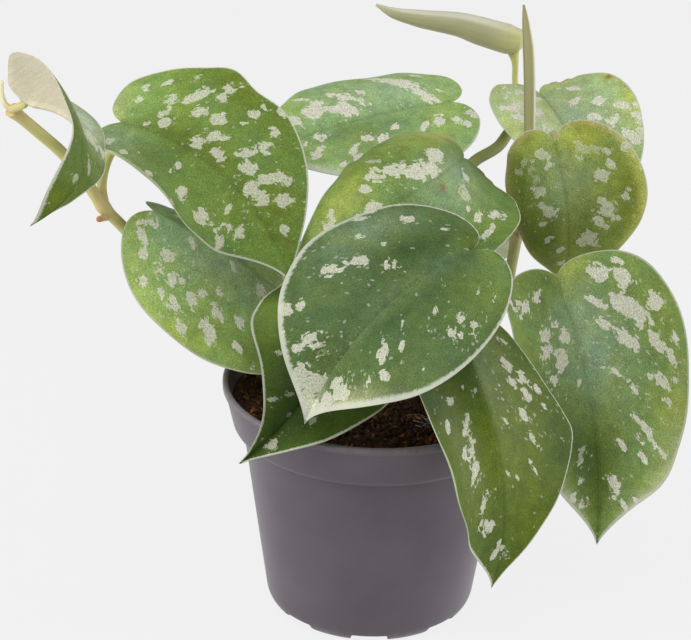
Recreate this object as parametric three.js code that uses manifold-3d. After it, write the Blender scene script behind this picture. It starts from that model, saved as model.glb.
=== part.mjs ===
// Satin pothos (Scindapsus pictus) growing in its 12 cm nursery pot.
//
// Units are millimetres and +Z is up. The pot stands on Z = 0 with its axis on the Z axis, and
// the front of the plant faces -Y. Pieces: one moulded pot, one body of potting mix, three stems
// with their leaf stalks, fourteen open blades and two new leaves that are still rolled up.

import * as THREE from 'three';
import { mergeVertices } from 'three/addons/utils/BufferGeometryUtils.js';
import Module from 'manifold-3d';

const wasm = await Module();
wasm.setup();

// ---------------------------------------------------------------------------
// Driving dimensions
// ---------------------------------------------------------------------------

const SEAT_GAP = 0.3; // left between pieces that touch
const DEGREE = Math.PI / 180;

const POT = {
  height: 97,
  rimRadius: 60,
  lipHeight: 3, // the thick rounded top edge
  lipStep: 0.8, // how far the lip stands out from the band
  bandBottom: 78.4,
  bandBottomRadius: 55.6,
  ledgeSlope: 0.8, // rise of the ledge under the band
  bodyTopRadius: 52.1,
  footRadius: 40.9,
  footRound: 6.4,
  wall: 1.4,
  floor: 1.8,
  sides: 40,
};

const DRAIN = {
  channels: 8,
  channelWidth: 14,
  channelHeight: 4,
  channelStart: 17, // radius of the channel's inner end
  rise: 4.4, // the floor is lifted this much over the channels
  holeRadius: 3.5,
  holeSides: 12,
};

const SOIL = {
  level: 88,
  rings: 5,
  stemDepth: 12, // how deep a stem stands in it
  lumps: [ // waves that add up to its low lumps: height, radians per mm in x and y, and start
    { height: 0.85, x: 0.21, y: 0.17, start: 1 },
    { height: 0.45, x: 0.43, y: -0.37, start: 2 },
  ],
};

const STEM_RADIUS = 2.3;
const STALK_RADIUS = 1.6;
const THIN_STALK_RADIUS = 1.3;
const TENDRIL_RADIUS = 0.9;
const KNOT_SWELL = 1.25; // a knot is this much thicker than its stem
const ARRIVAL = {
  below: 7, // a stalk turns toward its blade this far under it
  behind: 2,
  straight: 9, // one that starts closer than this runs straight to its blade
  roll: 6, // and toward a rolled leaf this far before it
};
const STEM_SIDES = 8;
const STEM_STEP = 8; // length of one facet along a stem

const BLADE_THICKNESS = 0.8;
const BLADE_ROWS = 14; // facets from the stalk end to the tip
const BLADE_COLUMNS = 4; // facets from the midrib to the margin
const VEIN_SWEEP = 1.6; // power that leans the side veins toward the tip
const RIB_SAMPLES = 81;
const LOBE_REACH = 0.35; // the midrib curve goes on behind the stalk end by this share of length

// The margin is two cubic curves that meet where the blade is widest. Shares of half width
// (`Spread`) and of length (`Reach`) place their inner control points.
const MARGIN = {
  lobeSpread: 0.12,
  shoulderReach: 0.36,
  flankReach: 0.3,
  tipReach: 0.17,
  tipSpread: 0.14,
};

const FINISH = {
  pot: { colour: '#6d6570', roughness: 0.55 },
  soil: { colour: '#33221a', roughness: 0.95 },
  stem: { colour: '#94a05c', roughness: 0.5 },
};
const BLADE_ROUGHNESS = 0.45;

// ---------------------------------------------------------------------------
// Blades. Each has its stalk end `at`, the direction of its middle as heading, pitch and roll,
// its length and half widths, where it is widest, how far its lobes reach back, and its shape in
// degrees: `bend` droops the midrib, `sweep` turns it sideways, `twist` rolls it from base to
// tip, `fold` raises both halves from the midrib (`foldGain` more toward the tip), and
// `curlLeft` and `curlRight` roll each half up or down across its width. A nick dents the margin
// by its depth, and one with a negative depth swells it.
// ---------------------------------------------------------------------------

const LEAVES = {
  leaf_upper_left: {
    at: [-99, 14, 196], heading: -26, pitch: -35, roll: 37,
    length: 95, left: 38, right: 40, widest: 35, lobe: 19,
    bend: 48, sweep: -49, twist: 28, fold: -7, foldGain: -17, curlLeft: 3, curlRight: 85,
    nicks: [
      { side: 1, along: 0.5, spread: 0.04, depth: 1.8 },
      { side: 1, along: 0.445, spread: 0.035, depth: -3.3 },
      { side: 1, along: 0.21, spread: 0.06, depth: -1.3 },
    ],
    colour: '#6f9440',
  },
  leaf_left: {
    at: [-87, 18, 158], heading: 8, pitch: -42, roll: 36,
    length: 103, left: 41, right: 43, widest: 42, lobe: 22,
    bend: 74, sweep: 29, twist: -4, fold: -16, foldGain: 19, curlLeft: -49, curlRight: 13,
    nicks: [{ side: -1, along: 0.36, spread: 0.14, depth: -1.2 }],
    colour: '#6b8f45',
  },
  leaf_lower_left: {
    at: [-15, -2, 136], heading: -118, pitch: -29, roll: -37,
    length: 89, left: 32, right: 33, widest: 29, lobe: 25,
    bend: 20, sweep: -46, twist: -30, fold: 32, foldGain: 35, curlLeft: -7, curlRight: -51,
    colour: '#4c6e2f',
  },
  leaf_front: {
    at: [33, -34, 167], heading: -150, pitch: -39, roll: -29,
    length: 96, left: 40, right: 40, widest: 42, lobe: 26,
    bend: 79, sweep: 12, twist: 0, fold: 26, foldGain: 22, curlLeft: -36, curlRight: -43,
    colour: '#5f8a4a',
  },
  leaf_centre_back: {
    at: [32, 29, 179], heading: -154, pitch: -24, roll: -59,
    length: 99, left: 39, right: 37, widest: 36, lobe: 25,
    bend: 125, sweep: -3, twist: -5, fold: -7, foldGain: -11, curlLeft: 50, curlRight: -87,
    nicks: [
      { side: 1, along: 0.09, spread: 0.03, depth: 1 },
      { side: 1, along: 0.21, spread: 0.03, depth: 1.2 },
    ],
    colour: '#789a45',
  },
  leaf_top_back: {
    at: [28, 70, 187], heading: -158, pitch: -10, roll: -29,
    length: 91, left: 36, right: 37, widest: 34, lobe: 20,
    bend: 29, sweep: 3, twist: -4, fold: 11, foldGain: 6, curlLeft: -7, curlRight: -71,
    colour: '#6f964a',
  },
  leaf_back_right: {
    at: [65, 91, 184], heading: -58, pitch: -44, roll: -13,
    length: 80, left: 32, right: 31, widest: 24, lobe: 16,
    bend: 70, sweep: 44, twist: -26, fold: 18, foldGain: 15, curlLeft: 48, curlRight: -33,
    nicks: [
      { side: 1, along: 0.2, spread: 0.03, depth: 1.6 },
      { side: 1, along: 0.29, spread: 0.03, depth: 1.4 },
    ],
    colour: '#86a35a',
  },
  leaf_round_right: {
    at: [67, 26, 187], heading: 69, pitch: -72, roll: 157,
    length: 74, left: 32, right: 28, widest: 23, lobe: 16,
    bend: 48, sweep: -19, twist: 1, fold: 1, foldGain: 12, curlLeft: 3, curlRight: -59,
    nicks: [{ side: -1, along: 0.78, spread: 0.1, depth: -1.8 }],
    colour: '#7f9440',
  },
  leaf_right: {
    at: [70, 16, 135], heading: -63, pitch: -67, roll: 16,
    length: 110, left: 46, right: 44, widest: 37, lobe: 12,
    bend: 44, sweep: -17, twist: 15, fold: 22, foldGain: 11, curlLeft: 45, curlRight: 39,
    nicks: [{ side: 1, along: 0.75, spread: 0.07, depth: -2.7 }],
    colour: '#6f9147',
  },
  leaf_lower_right: {
    at: [32, -53, 136], heading: -60, pitch: -74, roll: -4,
    length: 96, left: 38, right: 38, widest: 34, lobe: 31,
    bend: 57, sweep: -10, twist: 0, fold: -9, foldGain: 29, curlLeft: 7, curlRight: 77,
    nicks: [
      { side: 1, along: 0.28, spread: 0.06, depth: -4 }, { side: 1, along: 0.42, spread: 0.08, depth: 3.2 },
      { side: 1, along: 0.54, spread: 0.025, depth: -0.8 },
    ],
    colour: '#5f8434',
  },
  leaf_curled: {
    at: [-132.1, -12.5, 212.6], heading: -82.2, pitch: -22.7, roll: -76.3,
    length: 82.4, left: 21.3, right: 24, widest: 13.9, lobe: 5.8,
    bend: 139, sweep: 10.4, twist: -50.2, fold: 4.1, foldGain: -67.5, curlLeft: 3.2, curlRight: -26.5,
    nicks: [
      { side: 1, along: 0.35, spread: 0.1, depth: 1.3 },
      { side: 1, along: 0.5, spread: 0.1, depth: 1.1 },
      { side: 1, along: 0.59, spread: 0.05, depth: 3 },
      { side: -1, along: 0.3, spread: 0.1, depth: 2.7 },
      { side: -1, along: 0.48, spread: 0.1, depth: -3.8 },
      { side: -1, along: 0.65, spread: 0.1, depth: 2.4 },
      { side: -1, along: 0.85, spread: 0.1, depth: -5.3 },
    ],
    colour: '#8a9c56',
  },
  leaf_rear_left: {
    at: [-48, 70, 137], heading: 128, pitch: -38, roll: -4,
    length: 88, left: 34, right: 34, widest: 31, lobe: 22,
    bend: 50, sweep: 8, twist: 6, fold: 10, foldGain: 4, curlLeft: -20, curlRight: -25,
    colour: '#6b8f45',
  },
  leaf_rear_right: {
    at: [28, 76, 130], heading: 92, pitch: -50, roll: 5,
    length: 84, left: 33, right: 33, widest: 30, lobe: 21,
    bend: 50, sweep: -8, twist: -5, fold: 9, foldGain: 5, curlLeft: -22, curlRight: -18,
    colour: '#648840',
  },
  leaf_rear_low: {
    at: [-6, 56, 112], heading: 98, pitch: -36, roll: 3,
    length: 80, left: 30, right: 30, widest: 29, lobe: 20,
    bend: 50, sweep: 4, twist: 3, fold: 12, foldGain: 4, curlLeft: -18, curlRight: -24,
    colour: '#5a7d3a',
  },
};

// ---------------------------------------------------------------------------
// New leaves: a spine from the stalk to the tip, and the roll's radius at each of its points.
// ---------------------------------------------------------------------------

const ROLL = {
  sides: 11,
  overlap: 0.16, // the outer turn stands this share of the radius over the inner one
  flatness: 0.82, // front to back, against the width
  front: [0, -1, 0.4], // the way its broad side faces
};

const NEW_LEAVES = {
  new_leaf_left: {
    spine: [[58.5, 113, 198], [57, 113, 198.4], [52, 113.4, 199.2], [40, 115, 202],
      [32, 116, 204], [15, 117, 206], [4, 118, 208], [-3, 119, 211]],
    radii: [2.6, 5.6, 7, 6.6, 5.7, 4.1, 2.5, 0.6],
    seam: 200,
    colour: '#b3bd8a',
  },
  new_leaf_up: {
    spine: [[58.4, 41, 178], [58.3, 43, 182], [57.7, 53, 204], [56.9, 58, 215], [55.6, 62, 224],
      [54.6, 65, 230]],
    radii: [1.9, 2.4, 2.6, 2.5, 1.6, 0.5],
    seam: 60,
    colour: '#a9b67c',
  },
};

// ---------------------------------------------------------------------------
// Stems. Each path runs from the foot in the soil; each stalk leaves it at its first point and,
// where it has a blade, ends just under that blade.
// ---------------------------------------------------------------------------

const SOIL_FOOT = SOIL.level - SOIL.stemDepth;

const VINES = {
  vine_left: {
    path: [[-30, 13, SOIL_FOOT], [-30, 13, 88], [-42, 14, 97], [-56, 15, 103], [-74, 18, 121],
      [-100, 20, 150], [-107, 14, 161], [-114, 12, 173], [-122, 9, 185], [-130, 4, 195],
      [-139, -2, 206]],
    knots: [[-90, 20, 138], [-107, 14, 161], [-139, -2, 206]],
    stalks: [
      { blade: 'leaf_left', path: [[-90, 20, 138], [-92, 24, 143]] },
      { blade: 'leaf_upper_left', path: [[-107, 14, 161], [-108, 19, 168], [-106, 22, 177]] },
      { blade: 'leaf_curled', path: [[-139, -2, 206], [-136, -7, 209]] },
      { radius: TENDRIL_RADIUS, path: [[-139, -2, 206], [-141.6, -1, 208], [-142.9, 0, 212.5], [-142.7, 1, 216.5]] },
    ],
  },
  vine_centre: {
    path: [[0, 20, SOIL_FOOT], [0, 20, 90], [2, 32, 116], [15, 40, 134], [21, 58, 150], [24, 72, 165]],
    knots: [[2, 32, 116], [15, 40, 134], [24, 72, 165]],
    stalks: [
      { blade: 'leaf_lower_left', path: [[1, 26, 104], [-8, 12, 112]] },
      { blade: 'leaf_rear_low', path: [[2, 32, 116], [-2, 42, 114]] },
      { blade: 'leaf_rear_left', path: [[15, 40, 134], [-8, 50, 129], [-32, 56, 129]] },
      { blade: 'leaf_rear_right', path: [[15, 40, 134], [23, 56, 137]] },
      { blade: 'leaf_top_back', path: [[24, 72, 165], [27, 76, 172]] },
    ],
  },
  vine_right: {
    path: [[20, 14, SOIL_FOOT], [20, 14, 90], [36, 1, 109], [49, 23, 119], [54, 45, 128],
      [56, 57, 135], [57, 73, 145], [59, 87, 157], [61, 101, 168]],
    knots: [[36, 1, 109], [49, 23, 119], [56, 57, 135], [59, 87, 157], [61, 101, 168]],
    stalks: [
      { blade: 'leaf_front', path: [[37, 2, 110], [39, -14, 134], [38, -23, 146], [37, -28, 154]] },
      { blade: 'leaf_lower_right', path: [[36, 1, 109], [39, -20, 117]] },
      { blade: 'leaf_right', path: [[49, 23, 119], [58, 33, 117]] },
      { blade: 'leaf_round_right', path: [[56, 57, 135], [59, 44, 154], [61, 37, 166], [63, 33, 174]] },
      { roll: 'new_leaf_up', path: [[56, 57, 135], [57, 52, 148], [58, 46, 162]] },
      {
        blade: 'leaf_centre_back', radius: STEM_RADIUS,
        path: [[61, 99, 168.5], [53, 83, 170], [48, 72, 167.8], [39, 52, 170], [33, 38, 171.5]],
      },
      { blade: 'leaf_back_right', path: [[61, 101, 168], [62, 105, 171]] },
      {
        radius: THIN_STALK_RADIUS,
        path: [[61, 101, 168], [58, 110, 172], [56, 112, 181], [55.3, 111, 193.4]],
      },
    ],
  },
};

// ---------------------------------------------------------------------------
// Solids and geometries
// ---------------------------------------------------------------------------

/** Turns a closed three.js geometry into a solid for cutting and joining. */
function toSolid(geometry) {
  const bare = geometry.clone();
  bare.deleteAttribute('normal');
  bare.deleteAttribute('uv');
  const merged = mergeVertices(bare);
  const corners = merged.index.array;
  const triVerts = [];
  for (let i = 0; i < corners.length; i += 3) {
    const [a, b, c] = corners.slice(i, i + 3);
    if (a !== b && b !== c && c !== a) triVerts.push(a, b, c);
  }
  return new wasm.Manifold(new wasm.Mesh({
    numProp: 3,
    vertProperties: new Float32Array(merged.attributes.position.array),
    triVerts: new Uint32Array(triVerts),
  }));
}

/** Turns a solid back into a three.js geometry. */
function toGeometry(solid) {
  const mesh = solid.getMesh();
  return indexedGeometry(mesh.vertProperties, mesh.triVerts);
}

/** Turns a list of [x, y, z] into vectors. */
function toPoints(list) {
  return list.map((p) => new THREE.Vector3(...p));
}

/** Makes a geometry from flat position and index lists. */
function indexedGeometry(positions, indices) {
  const geometry = new THREE.BufferGeometry();
  geometry.setAttribute('position', new THREE.Float32BufferAttribute(positions, 3));
  geometry.setIndex(Array.from(indices));
  geometry.computeVertexNormals();
  return geometry;
}

/** Wraps a geometry in a named mesh with its own material. */
function piece(name, geometry, { colour, roughness = BLADE_ROUGHNESS }) {
  const material = new THREE.MeshStandardMaterial({ color: colour, roughness, metalness: 0 });
  const mesh = new THREE.Mesh(geometry, material);
  mesh.name = name;
  return mesh;
}

/** Turns an (r, z) outline about the Z axis. */
function turned(outline, sides) {
  const geometry = new THREE.LatheGeometry(outline, sides);
  geometry.rotateX(Math.PI / 2);
  return geometry;
}

// ---------------------------------------------------------------------------
// Pot
// ---------------------------------------------------------------------------

/** Outer radius of the tapering body at a height under the band. */
function bodyRadius(z) {
  return THREE.MathUtils.mapLinear(z, 0, POT.bandBottom, POT.footRadius, POT.bodyTopRadius);
}

/** Outer radius of the rim band at a height between its lower edge and the lip. */
function bandRadius(z) {
  const lip = POT.height - POT.lipHeight;
  return THREE.MathUtils.mapLinear(z, POT.bandBottom, lip, POT.bandBottomRadius, POT.rimRadius - POT.lipStep);
}

/** Outline of the inside of the pot, from the floor's middle up to the lip, moved in by `inset`. */
function insideOutline(top, inset) {
  const floorTop = DRAIN.rise + POT.floor + inset;
  const round = POT.footRound - POT.wall;
  const offset = POT.wall + inset;
  const outline = new THREE.Path();
  outline.moveTo(0, floorTop);
  outline.lineTo(bodyRadius(0) - offset - round, floorTop);
  outline.quadraticCurveTo(bodyRadius(0) - offset, floorTop, bodyRadius(round) - offset, floorTop + round);
  const ledge = POT.bandBottom + POT.wall + inset;
  outline.lineTo(bodyRadius(POT.bandBottom) - offset, ledge);
  outline.lineTo(bandRadius(ledge) - offset, ledge + POT.ledgeSlope);
  outline.lineTo(bandRadius(top) - offset, top);
  return outline.getPoints(3);
}

/** The moulded pot: tapering body, deep rim band, rounded lip, lifted floor with drain channels. */
function potGeometry() {
  const lipInner = POT.rimRadius - POT.lipStep - POT.wall;
  const lipMiddle = (POT.rimRadius + lipInner) / 2;
  const lipHalf = (POT.rimRadius - lipInner) / 2;
  const outer = new THREE.Path();
  outer.moveTo(0, 0);
  outer.lineTo(POT.footRadius - POT.footRound, 0);
  outer.quadraticCurveTo(POT.footRadius, 0, bodyRadius(POT.footRound), POT.footRound);
  outer.lineTo(POT.bodyTopRadius, POT.bandBottom);
  outer.lineTo(POT.bandBottomRadius, POT.bandBottom + POT.ledgeSlope);
  outer.lineTo(POT.rimRadius - POT.lipStep, POT.height - POT.lipHeight);
  outer.lineTo(POT.rimRadius, POT.height - POT.lipHeight);
  outer.lineTo(POT.rimRadius, POT.height - lipHalf);
  outer.absarc(lipMiddle, POT.height - lipHalf, lipHalf, 0, Math.PI, false);
  const inside = insideOutline(POT.height - POT.lipHeight, 0).reverse();
  const shell = toSolid(turned([...outer.getPoints(3), ...inside], POT.sides));
  return toGeometry(shell.subtract(drainCuts()));
}

/** The radial channels under the floor, and a drain hole at the inner end of each. */
function drainCuts() {
  const reach = POT.footRadius + POT.footRound - DRAIN.channelStart;
  const cuts = [];
  for (let i = 0; i < DRAIN.channels; i += 1) {
    const turn = (i / DRAIN.channels) * 2 * Math.PI - Math.PI / 2;
    const channel = new THREE.BoxGeometry(reach, DRAIN.channelWidth, 2 * DRAIN.channelHeight);
    channel.translate(DRAIN.channelStart + reach / 2, 0, 0);
    channel.rotateZ(turn);
    const holeAt = DRAIN.channelStart + DRAIN.channelWidth / 2;
    const through = 3 * (DRAIN.rise + POT.floor);
    const hole = new THREE.CylinderGeometry(DRAIN.holeRadius, DRAIN.holeRadius, through, DRAIN.holeSides);
    hole.rotateX(Math.PI / 2);
    hole.translate(holeAt, 0, 0);
    hole.rotateZ(turn);
    cuts.push(toSolid(channel), toSolid(hole));
  }
  return wasm.Manifold.union(cuts);
}

// ---------------------------------------------------------------------------
// Soil
// ---------------------------------------------------------------------------

/** Height of the potting mix, with low lumps, over a point of the surface. */
function soilHeight(x, y) {
  const wave = (lump) => lump.height * Math.sin(lump.x * x + lump.y * y + lump.start);
  return SOIL.lumps.reduce((level, lump) => level + wave(lump), SOIL.level);
}

/** The potting mix, a loose fit in the pot, with a plain hole for each stem. */
function soilGeometry() {
  const side = insideOutline(SOIL.level, SEAT_GAP);
  const edge = side[side.length - 1].x;
  const top = [];
  for (let ring = SOIL.rings - 1; ring >= 0; ring -= 1) {
    top.push(new THREE.Vector2((edge * ring) / SOIL.rings, SOIL.level));
  }
  const body = turned([...side, ...top], POT.sides);
  const position = body.attributes.position;
  for (let i = 0; i < position.count; i += 1) {
    const [x, y, z] = [position.getX(i), position.getY(i), position.getZ(i)];
    const share = 1 - Math.hypot(x, y) / edge;
    const lumpy = Math.min(1, share * SOIL.rings);
    if (z > SOIL.level - 1e-3) position.setZ(i, THREE.MathUtils.lerp(SOIL.level, soilHeight(x, y), lumpy));
  }
  const holes = Object.values(VINES).map(({ path: [[x, y, z], ...rest] }) => stemSolid(
    toPoints([[x, y, z - SEAT_GAP], ...rest]),
    STEM_RADIUS + SEAT_GAP,
    stemFacets(toPoints([[x, y, z], ...rest])),
  ));
  return toGeometry(toSolid(body).subtract(wasm.Manifold.union(holes)));
}

// ---------------------------------------------------------------------------
// Blades
// ---------------------------------------------------------------------------

/** Directions along, across and up from the blade at share `u` (-0.5 to 0.5) of its length. */
function ribFrame(leaf, u) {
  const droop = -leaf.bend * DEGREE * u;
  const turn = leaf.sweep * DEGREE * u;
  const twist = leaf.twist * DEGREE * u;
  const along = new THREE.Vector3(
    Math.cos(droop) * Math.cos(turn),
    Math.cos(droop) * Math.sin(turn),
    Math.sin(droop),
  );
  const across = new THREE.Vector3(-Math.sin(turn), Math.cos(turn), 0);
  const up = new THREE.Vector3().crossVectors(along, across);
  across.applyAxisAngle(along, twist);
  up.applyAxisAngle(along, twist);
  return { along, across, up };
}

/** The midrib as a function of distance from the stalk end, which lies at the origin. */
function midrib(leaf) {
  const start = -LOBE_REACH * leaf.length;
  const step = (leaf.length - start) / (RIB_SAMPLES - 1);
  const frameAt = (x) => ribFrame(leaf, Math.max(x / leaf.length - 0.5, -0.5));
  const points = [new THREE.Vector3()];
  for (let i = 1; i < RIB_SAMPLES; i += 1) {
    const before = frameAt(start + (i - 1) * step).along;
    const after = frameAt(start + i * step).along;
    points.push(points[i - 1].clone().addScaledVector(before.add(after), step / 2));
  }
  const pointAt = (x) => {
    const place = THREE.MathUtils.clamp((x - start) / step, 0, RIB_SAMPLES - 1.001);
    const i = Math.floor(place);
    return points[i].clone().lerp(points[i + 1], place - i);
  };
  const origin = pointAt(0);
  return (x) => ({ centre: pointAt(x).sub(origin), ...frameAt(x) });
}

/** The flat margin of one half at share `t` of its run from the stalk end to the tip. */
function marginPoint(leaf, side, t) {
  const width = side > 0 ? leaf.left : leaf.right;
  const { length, widest, lobe } = leaf;
  const lobeCurve = new THREE.CubicBezierCurve(
    new THREE.Vector2(0, 0),
    new THREE.Vector2(-lobe, MARGIN.lobeSpread * width),
    new THREE.Vector2(widest - MARGIN.shoulderReach * length, width),
    new THREE.Vector2(widest, width),
  );
  const tipCurve = new THREE.CubicBezierCurve(
    new THREE.Vector2(widest, width),
    new THREE.Vector2(widest + MARGIN.flankReach * length, width),
    new THREE.Vector2((1 - MARGIN.tipReach) * length, MARGIN.tipSpread * width),
    new THREE.Vector2(length, 0),
  );
  return t < 0.5 ? lobeCurve.getPoint(2 * t) : tipCurve.getPoint(2 * t - 1);
}

/** A flat point of one half: vein `t` of the half, and share `v` of the way out along it. */
function veinPoint(leaf, side, t, v) {
  const foot = new THREE.Vector2(leaf.length * t ** VEIN_SWEEP, 0);
  const margin = marginPoint(leaf, side, t);
  const span = margin.distanceTo(foot);
  let bite = 0;
  for (const nick of leaf.nicks ?? []) {
    if (nick.side === side) bite += nick.depth * Math.exp(-(((t - nick.along) / nick.spread) ** 2));
  }
  const point = foot.lerp(margin, v * (1 - bite / Math.max(span, bite + 1)));
  return { x: point.x, reach: point.y };
}

/** Bends a flat point out of its plane; gives its place and the direction up from the blade. */
function sheetPoint(leaf, rib, x, reach, side) {
  const { centre, across, up } = rib(x);
  const width = side > 0 ? leaf.left : leaf.right;
  const curl = (side > 0 ? leaf.curlLeft : leaf.curlRight) * DEGREE;
  const bending = Math.abs(curl / width) < 1e-5 ? 1e-5 : curl / width;
  const fold = (leaf.fold + leaf.foldGain * (x / leaf.length - 0.5)) * DEGREE;
  const tilt = fold + bending * reach;
  const out = (Math.sin(tilt) - Math.sin(fold)) / bending;
  const rise = (Math.cos(fold) - Math.cos(tilt)) / bending;
  const place = centre.clone().addScaledVector(across, side * out).addScaledVector(up, rise);
  const normal = up.clone().multiplyScalar(reach > 0 ? Math.cos(tilt) : 1);
  if (reach > 0) normal.addScaledVector(across, -side * Math.sin(tilt));
  return { place, normal };
}

/** A blade: the bent sheet on top, and the same facets again one thickness below it. */
function bladeGeometry(leaf) {
  const rib = midrib(leaf);
  const lineLength = 2 * BLADE_COLUMNS + 1;
  const sheet = [sheetPoint(leaf, rib, 0, 0, 1)];
  for (let row = 1; row < BLADE_ROWS; row += 1) {
    for (let column = -BLADE_COLUMNS; column <= BLADE_COLUMNS; column += 1) {
      const side = column < 0 ? 1 : -1;
      const { x, reach } = veinPoint(leaf, side, row / BLADE_ROWS, Math.abs(column) / BLADE_COLUMNS);
      sheet.push(sheetPoint(leaf, rib, x, Math.abs(reach), side));
    }
  }
  sheet.push(sheetPoint(leaf, rib, leaf.length, 0, 1));
  const under = sheet.length;
  const tip = under - 1;
  const at = (row, column) => 1 + (row - 1) * lineLength + column;

  const facets = [];
  for (let column = 0; column < lineLength - 1; column += 1) {
    facets.push([0, at(1, column + 1), at(1, column)]);
    facets.push([at(BLADE_ROWS - 1, column), at(BLADE_ROWS - 1, column + 1), tip]);
    for (let row = 1; row < BLADE_ROWS - 1; row += 1) {
      facets.push([at(row, column), at(row, column + 1), at(row + 1, column)]);
      facets.push([at(row + 1, column), at(row, column + 1), at(row + 1, column + 1)]);
    }
  }
  const leftMargin = [0];
  const rightMargin = [tip];
  for (let row = 1; row < BLADE_ROWS; row += 1) {
    leftMargin.push(at(row, 0));
    rightMargin.push(at(BLADE_ROWS - row, lineLength - 1));
  }
  const rim = [...leftMargin, ...rightMargin];

  const positions = [];
  for (const { place } of sheet) positions.push(...place);
  for (const { place, normal } of sheet) {
    positions.push(...place.clone().addScaledVector(normal, -BLADE_THICKNESS));
  }
  const indices = [];
  for (const [a, b, c] of facets) indices.push(a, b, c, under + c, under + b, under + a);
  rim.forEach((a, i) => {
    const b = rim[(i + 1) % rim.length];
    indices.push(a, b, under + a, b, under + b, under + a);
  });
  return indexedGeometry(positions, indices);
}

/** The turn that takes a blade's own axes to the plant's. */
function bladeTurn(leaf) {
  return new THREE.Euler(leaf.roll * DEGREE, -leaf.pitch * DEGREE, leaf.heading * DEGREE, 'ZYX');
}

/** A placed blade. */
function bladePiece(name, leaf) {
  const mesh = piece(name, bladeGeometry(leaf), leaf);
  mesh.position.set(...leaf.at);
  mesh.rotation.copy(bladeTurn(leaf));
  return mesh;
}

// ---------------------------------------------------------------------------
// New leaves
// ---------------------------------------------------------------------------

/** A leaf still rolled up: a snail-shaped section that tapers along the spine to the tip. */
function rolledGeometry({ spine, radii, seam }) {
  const points = toPoints(spine);
  const toFront = new THREE.Vector3(...ROLL.front).normalize();
  const ring = ROLL.sides + 1;
  const positions = [];
  points.forEach((point, i) => {
    const before = points[Math.max(i - 1, 0)];
    const after = points[Math.min(i + 1, points.length - 1)];
    const along = after.clone().sub(before).normalize();
    const across = new THREE.Vector3().crossVectors(along, toFront).normalize();
    const deep = new THREE.Vector3().crossVectors(along, across);
    for (let j = 0; j < ring; j += 1) {
      const share = j / ROLL.sides;
      const angle = seam * DEGREE + share * 2 * Math.PI;
      const radius = radii[i] * (1 - ROLL.overlap * share);
      const corner = point.clone()
        .addScaledVector(across, radius * Math.cos(angle))
        .addScaledVector(deep, ROLL.flatness * radius * Math.sin(angle));
      positions.push(...corner);
    }
  });
  const indices = [];
  for (let i = 0; i < points.length - 1; i += 1) {
    for (let j = 0; j < ring; j += 1) {
      const k = (j + 1) % ring;
      const [a, b, c, d] = [i * ring + j, i * ring + k, (i + 1) * ring + j, (i + 1) * ring + k];
      indices.push(a, b, c, b, d, c);
    }
  }
  const last = (points.length - 1) * ring;
  for (let j = 1; j < ring - 1; j += 1) indices.push(0, j + 1, j, last, last + j, last + j + 1);
  return indexedGeometry(positions, indices);
}

// ---------------------------------------------------------------------------
// Stems
// ---------------------------------------------------------------------------

/** Number of facets along a smooth path. */
function stemFacets(path) {
  const curve = new THREE.CatmullRomCurve3(path, false, 'centripetal');
  return Math.max(2, Math.ceil(curve.getLength() / STEM_STEP));
}

/** A round stem of constant thickness along a smooth path. */
function stemSolid(path, radius, steps = stemFacets(path)) {
  const section = new THREE.Shape();
  section.absarc(0, 0, radius, 0, 2 * Math.PI, false);
  const curve = new THREE.CatmullRomCurve3(path, false, 'centripetal');
  const geometry = new THREE.ExtrudeGeometry(section, {
    steps, curveSegments: STEM_SIDES / 2, bevelEnabled: false, extrudePath: curve,
  });
  return toSolid(geometry);
}

/** The slight swelling where a stalk leaves its stem. */
function knotSolid([x, y, z]) {
  const knot = new THREE.IcosahedronGeometry(STEM_RADIUS * KNOT_SWELL, 1);
  knot.translate(x, y, z);
  return toSolid(knot);
}

/** Where a stalk ends under its blade: one point to arrive by, and the end just off the blade. */
function stalkEnd(blade, radius, last) {
  const leaf = LEAVES[blade];
  const turn = bladeTurn(leaf);
  const { along, up } = ribFrame(leaf, -0.5);
  along.applyEuler(turn);
  up.applyEuler(turn);
  const seat = new THREE.Vector3(...leaf.at);
  const near = last.distanceTo(seat) < ARRIVAL.straight;
  const turning = seat.clone().addScaledVector(up, -ARRIVAL.below).addScaledVector(along, -ARRIVAL.behind);
  const arrive = near ? last : turning;
  const lean = seat.clone().sub(arrive).angleTo(up);
  const ridge = Math.max(0, leaf.foldGain / 2 - leaf.fold) * DEGREE;
  const drop = BLADE_THICKNESS + SEAT_GAP + radius * (Math.sin(lean) + Math.tan(ridge));
  const end = seat.clone().addScaledVector(up, -drop);
  return near ? [end] : [arrive, end];
}

/** Where a stalk ends below a rolled leaf: in line with the foot of its spine. */
function rollEnd(name) {
  const [foot, next] = toPoints(NEW_LEAVES[name].spine);
  const along = next.sub(foot).normalize();
  return [ARRIVAL.roll, SEAT_GAP].map((back) => foot.clone().addScaledVector(along, -back));
}

/** One stem with its stalks and knots joined in one solid. */
function vineGeometry({ path, knots, stalks }) {
  const solids = [stemSolid(toPoints(path), STEM_RADIUS), ...knots.map(knotSolid)];
  for (const stalk of stalks) {
    const radius = stalk.radius ?? STALK_RADIUS;
    const points = toPoints(stalk.path);
    if (stalk.blade) points.push(...stalkEnd(stalk.blade, radius, points[points.length - 1]));
    if (stalk.roll) points.push(...rollEnd(stalk.roll));
    solids.push(stemSolid(points, radius));
  }
  return toGeometry(wasm.Manifold.union(solids));
}

// ---------------------------------------------------------------------------
// The plant
// ---------------------------------------------------------------------------

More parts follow.
